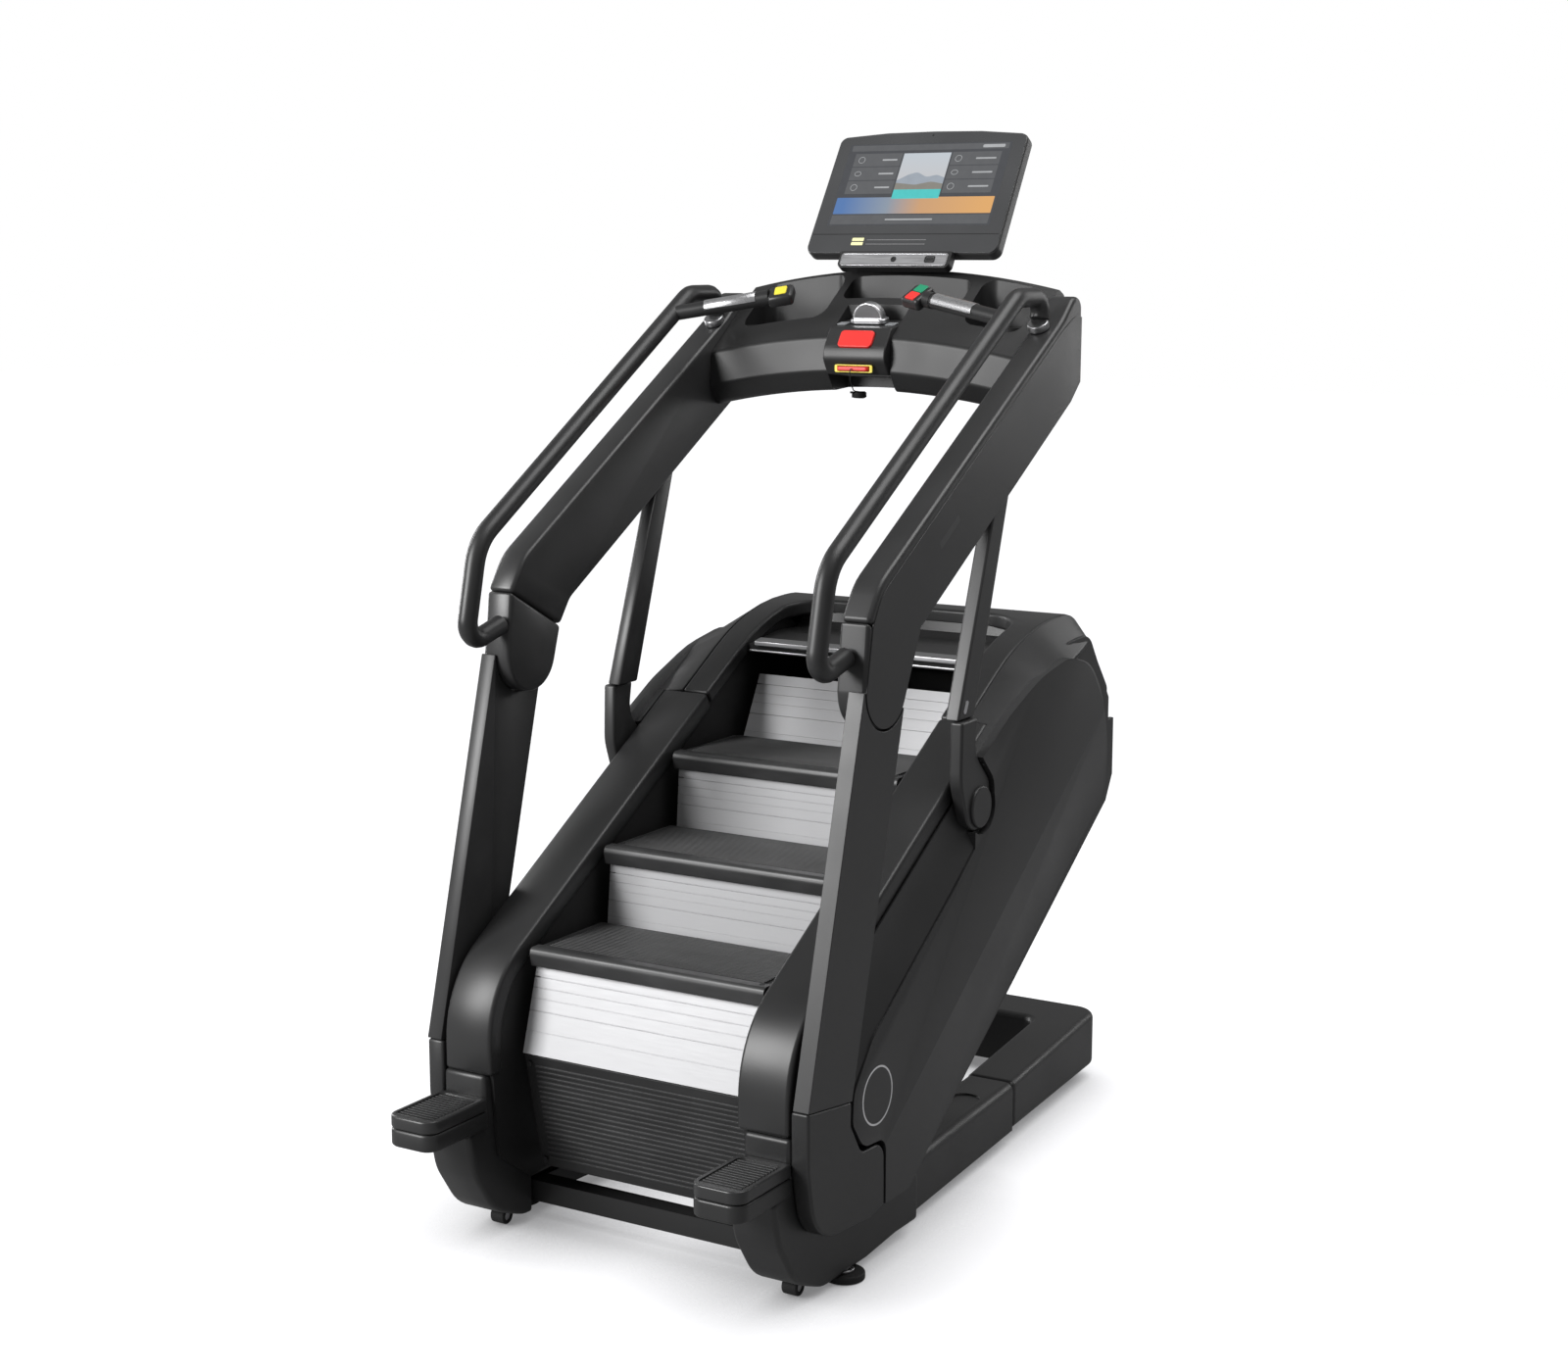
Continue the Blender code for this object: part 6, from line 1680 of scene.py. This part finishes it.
# %% Finishes of the carried-over nodes
SHOWN = {"step_frame": INNER, "base_frame": FRAME_PAINT, "drive_belt": FOOT_RUBBER, "brake_unit": FRAME_PAINT,
         "brake_pulley": STEEL, "upper_shaft": STEEL, "lower_shaft": STEEL, "step_chain_left": STEEL,
         "step_chain_right": STEEL}
replaced = {obj.name for obj in bpy.data.objects if obj.name in BODY_OF and obj.hide_render}
for node_name, finish in SHOWN.items():
    node = frame["nodes"][node_name]
    if not node.data.materials:
        node.data.materials.append(finish)
    for entry in node.material_slots:
        entry.material = finish
print("nodes with a new finish", len(SHOWN), "replaced", len(replaced))

# %% [markdown]
# ## The studio floor
# The floor has to run into the white surroundings without a horizon, and still has to carry the
# machine.  So it gives off a soft light of its own, which is as white as the background wherever
# nothing is near, and which an ambient occlusion node darkens close to the feet and the base: that
# darkening is a painted contact shadow, not one cast by the lamps.  To every other ray it is a weak
# glow, so that it doesn't light the machine from below.

# %% Floor
deselect()
bpy.ops.mesh.primitive_plane_add(size=60.0, location=(0.0, 0.0, -0.0005))
floor = bpy.context.object
floor.name = "studio_floor"
# The floor glows, and its glow carries a painted contact shadow near the machine.
floor_shadow_glow = moulded("floor_paint", (0.20, 0.20, 0.20), 0.8, grain=60.0, depth=0.0, spread=0.004)
floor_tree = floor_shadow_glow.node_tree
floor_shader = floor_tree.nodes["Principled BSDF"]
# Painted shadow: ambient occlusion darkens the glow's colour close to the feet and the base.
near = floor_tree.nodes.new("ShaderNodeAmbientOcclusion")
near.inputs["Distance"].default_value = 0.34
near.samples = 8
shade = ramp(floor_tree, near, "AO", 0.15, 0.92, grey(0.16), grey(1.0))
link(floor_tree, shade, "Color", floor_shader, "Emission Color")
seen = floor_tree.nodes.new("ShaderNodeLightPath")
glow = floor_tree.nodes.new("ShaderNodeMapRange")
glow.inputs["To Min"].default_value = 0.16
glow.inputs["To Max"].default_value = 1.0
link(floor_tree, seen, "Is Camera Ray", glow, "Value")
link(floor_tree, glow, "Result", floor_shader, "Emission Strength")
floor.data.materials.append(floor_shadow_glow)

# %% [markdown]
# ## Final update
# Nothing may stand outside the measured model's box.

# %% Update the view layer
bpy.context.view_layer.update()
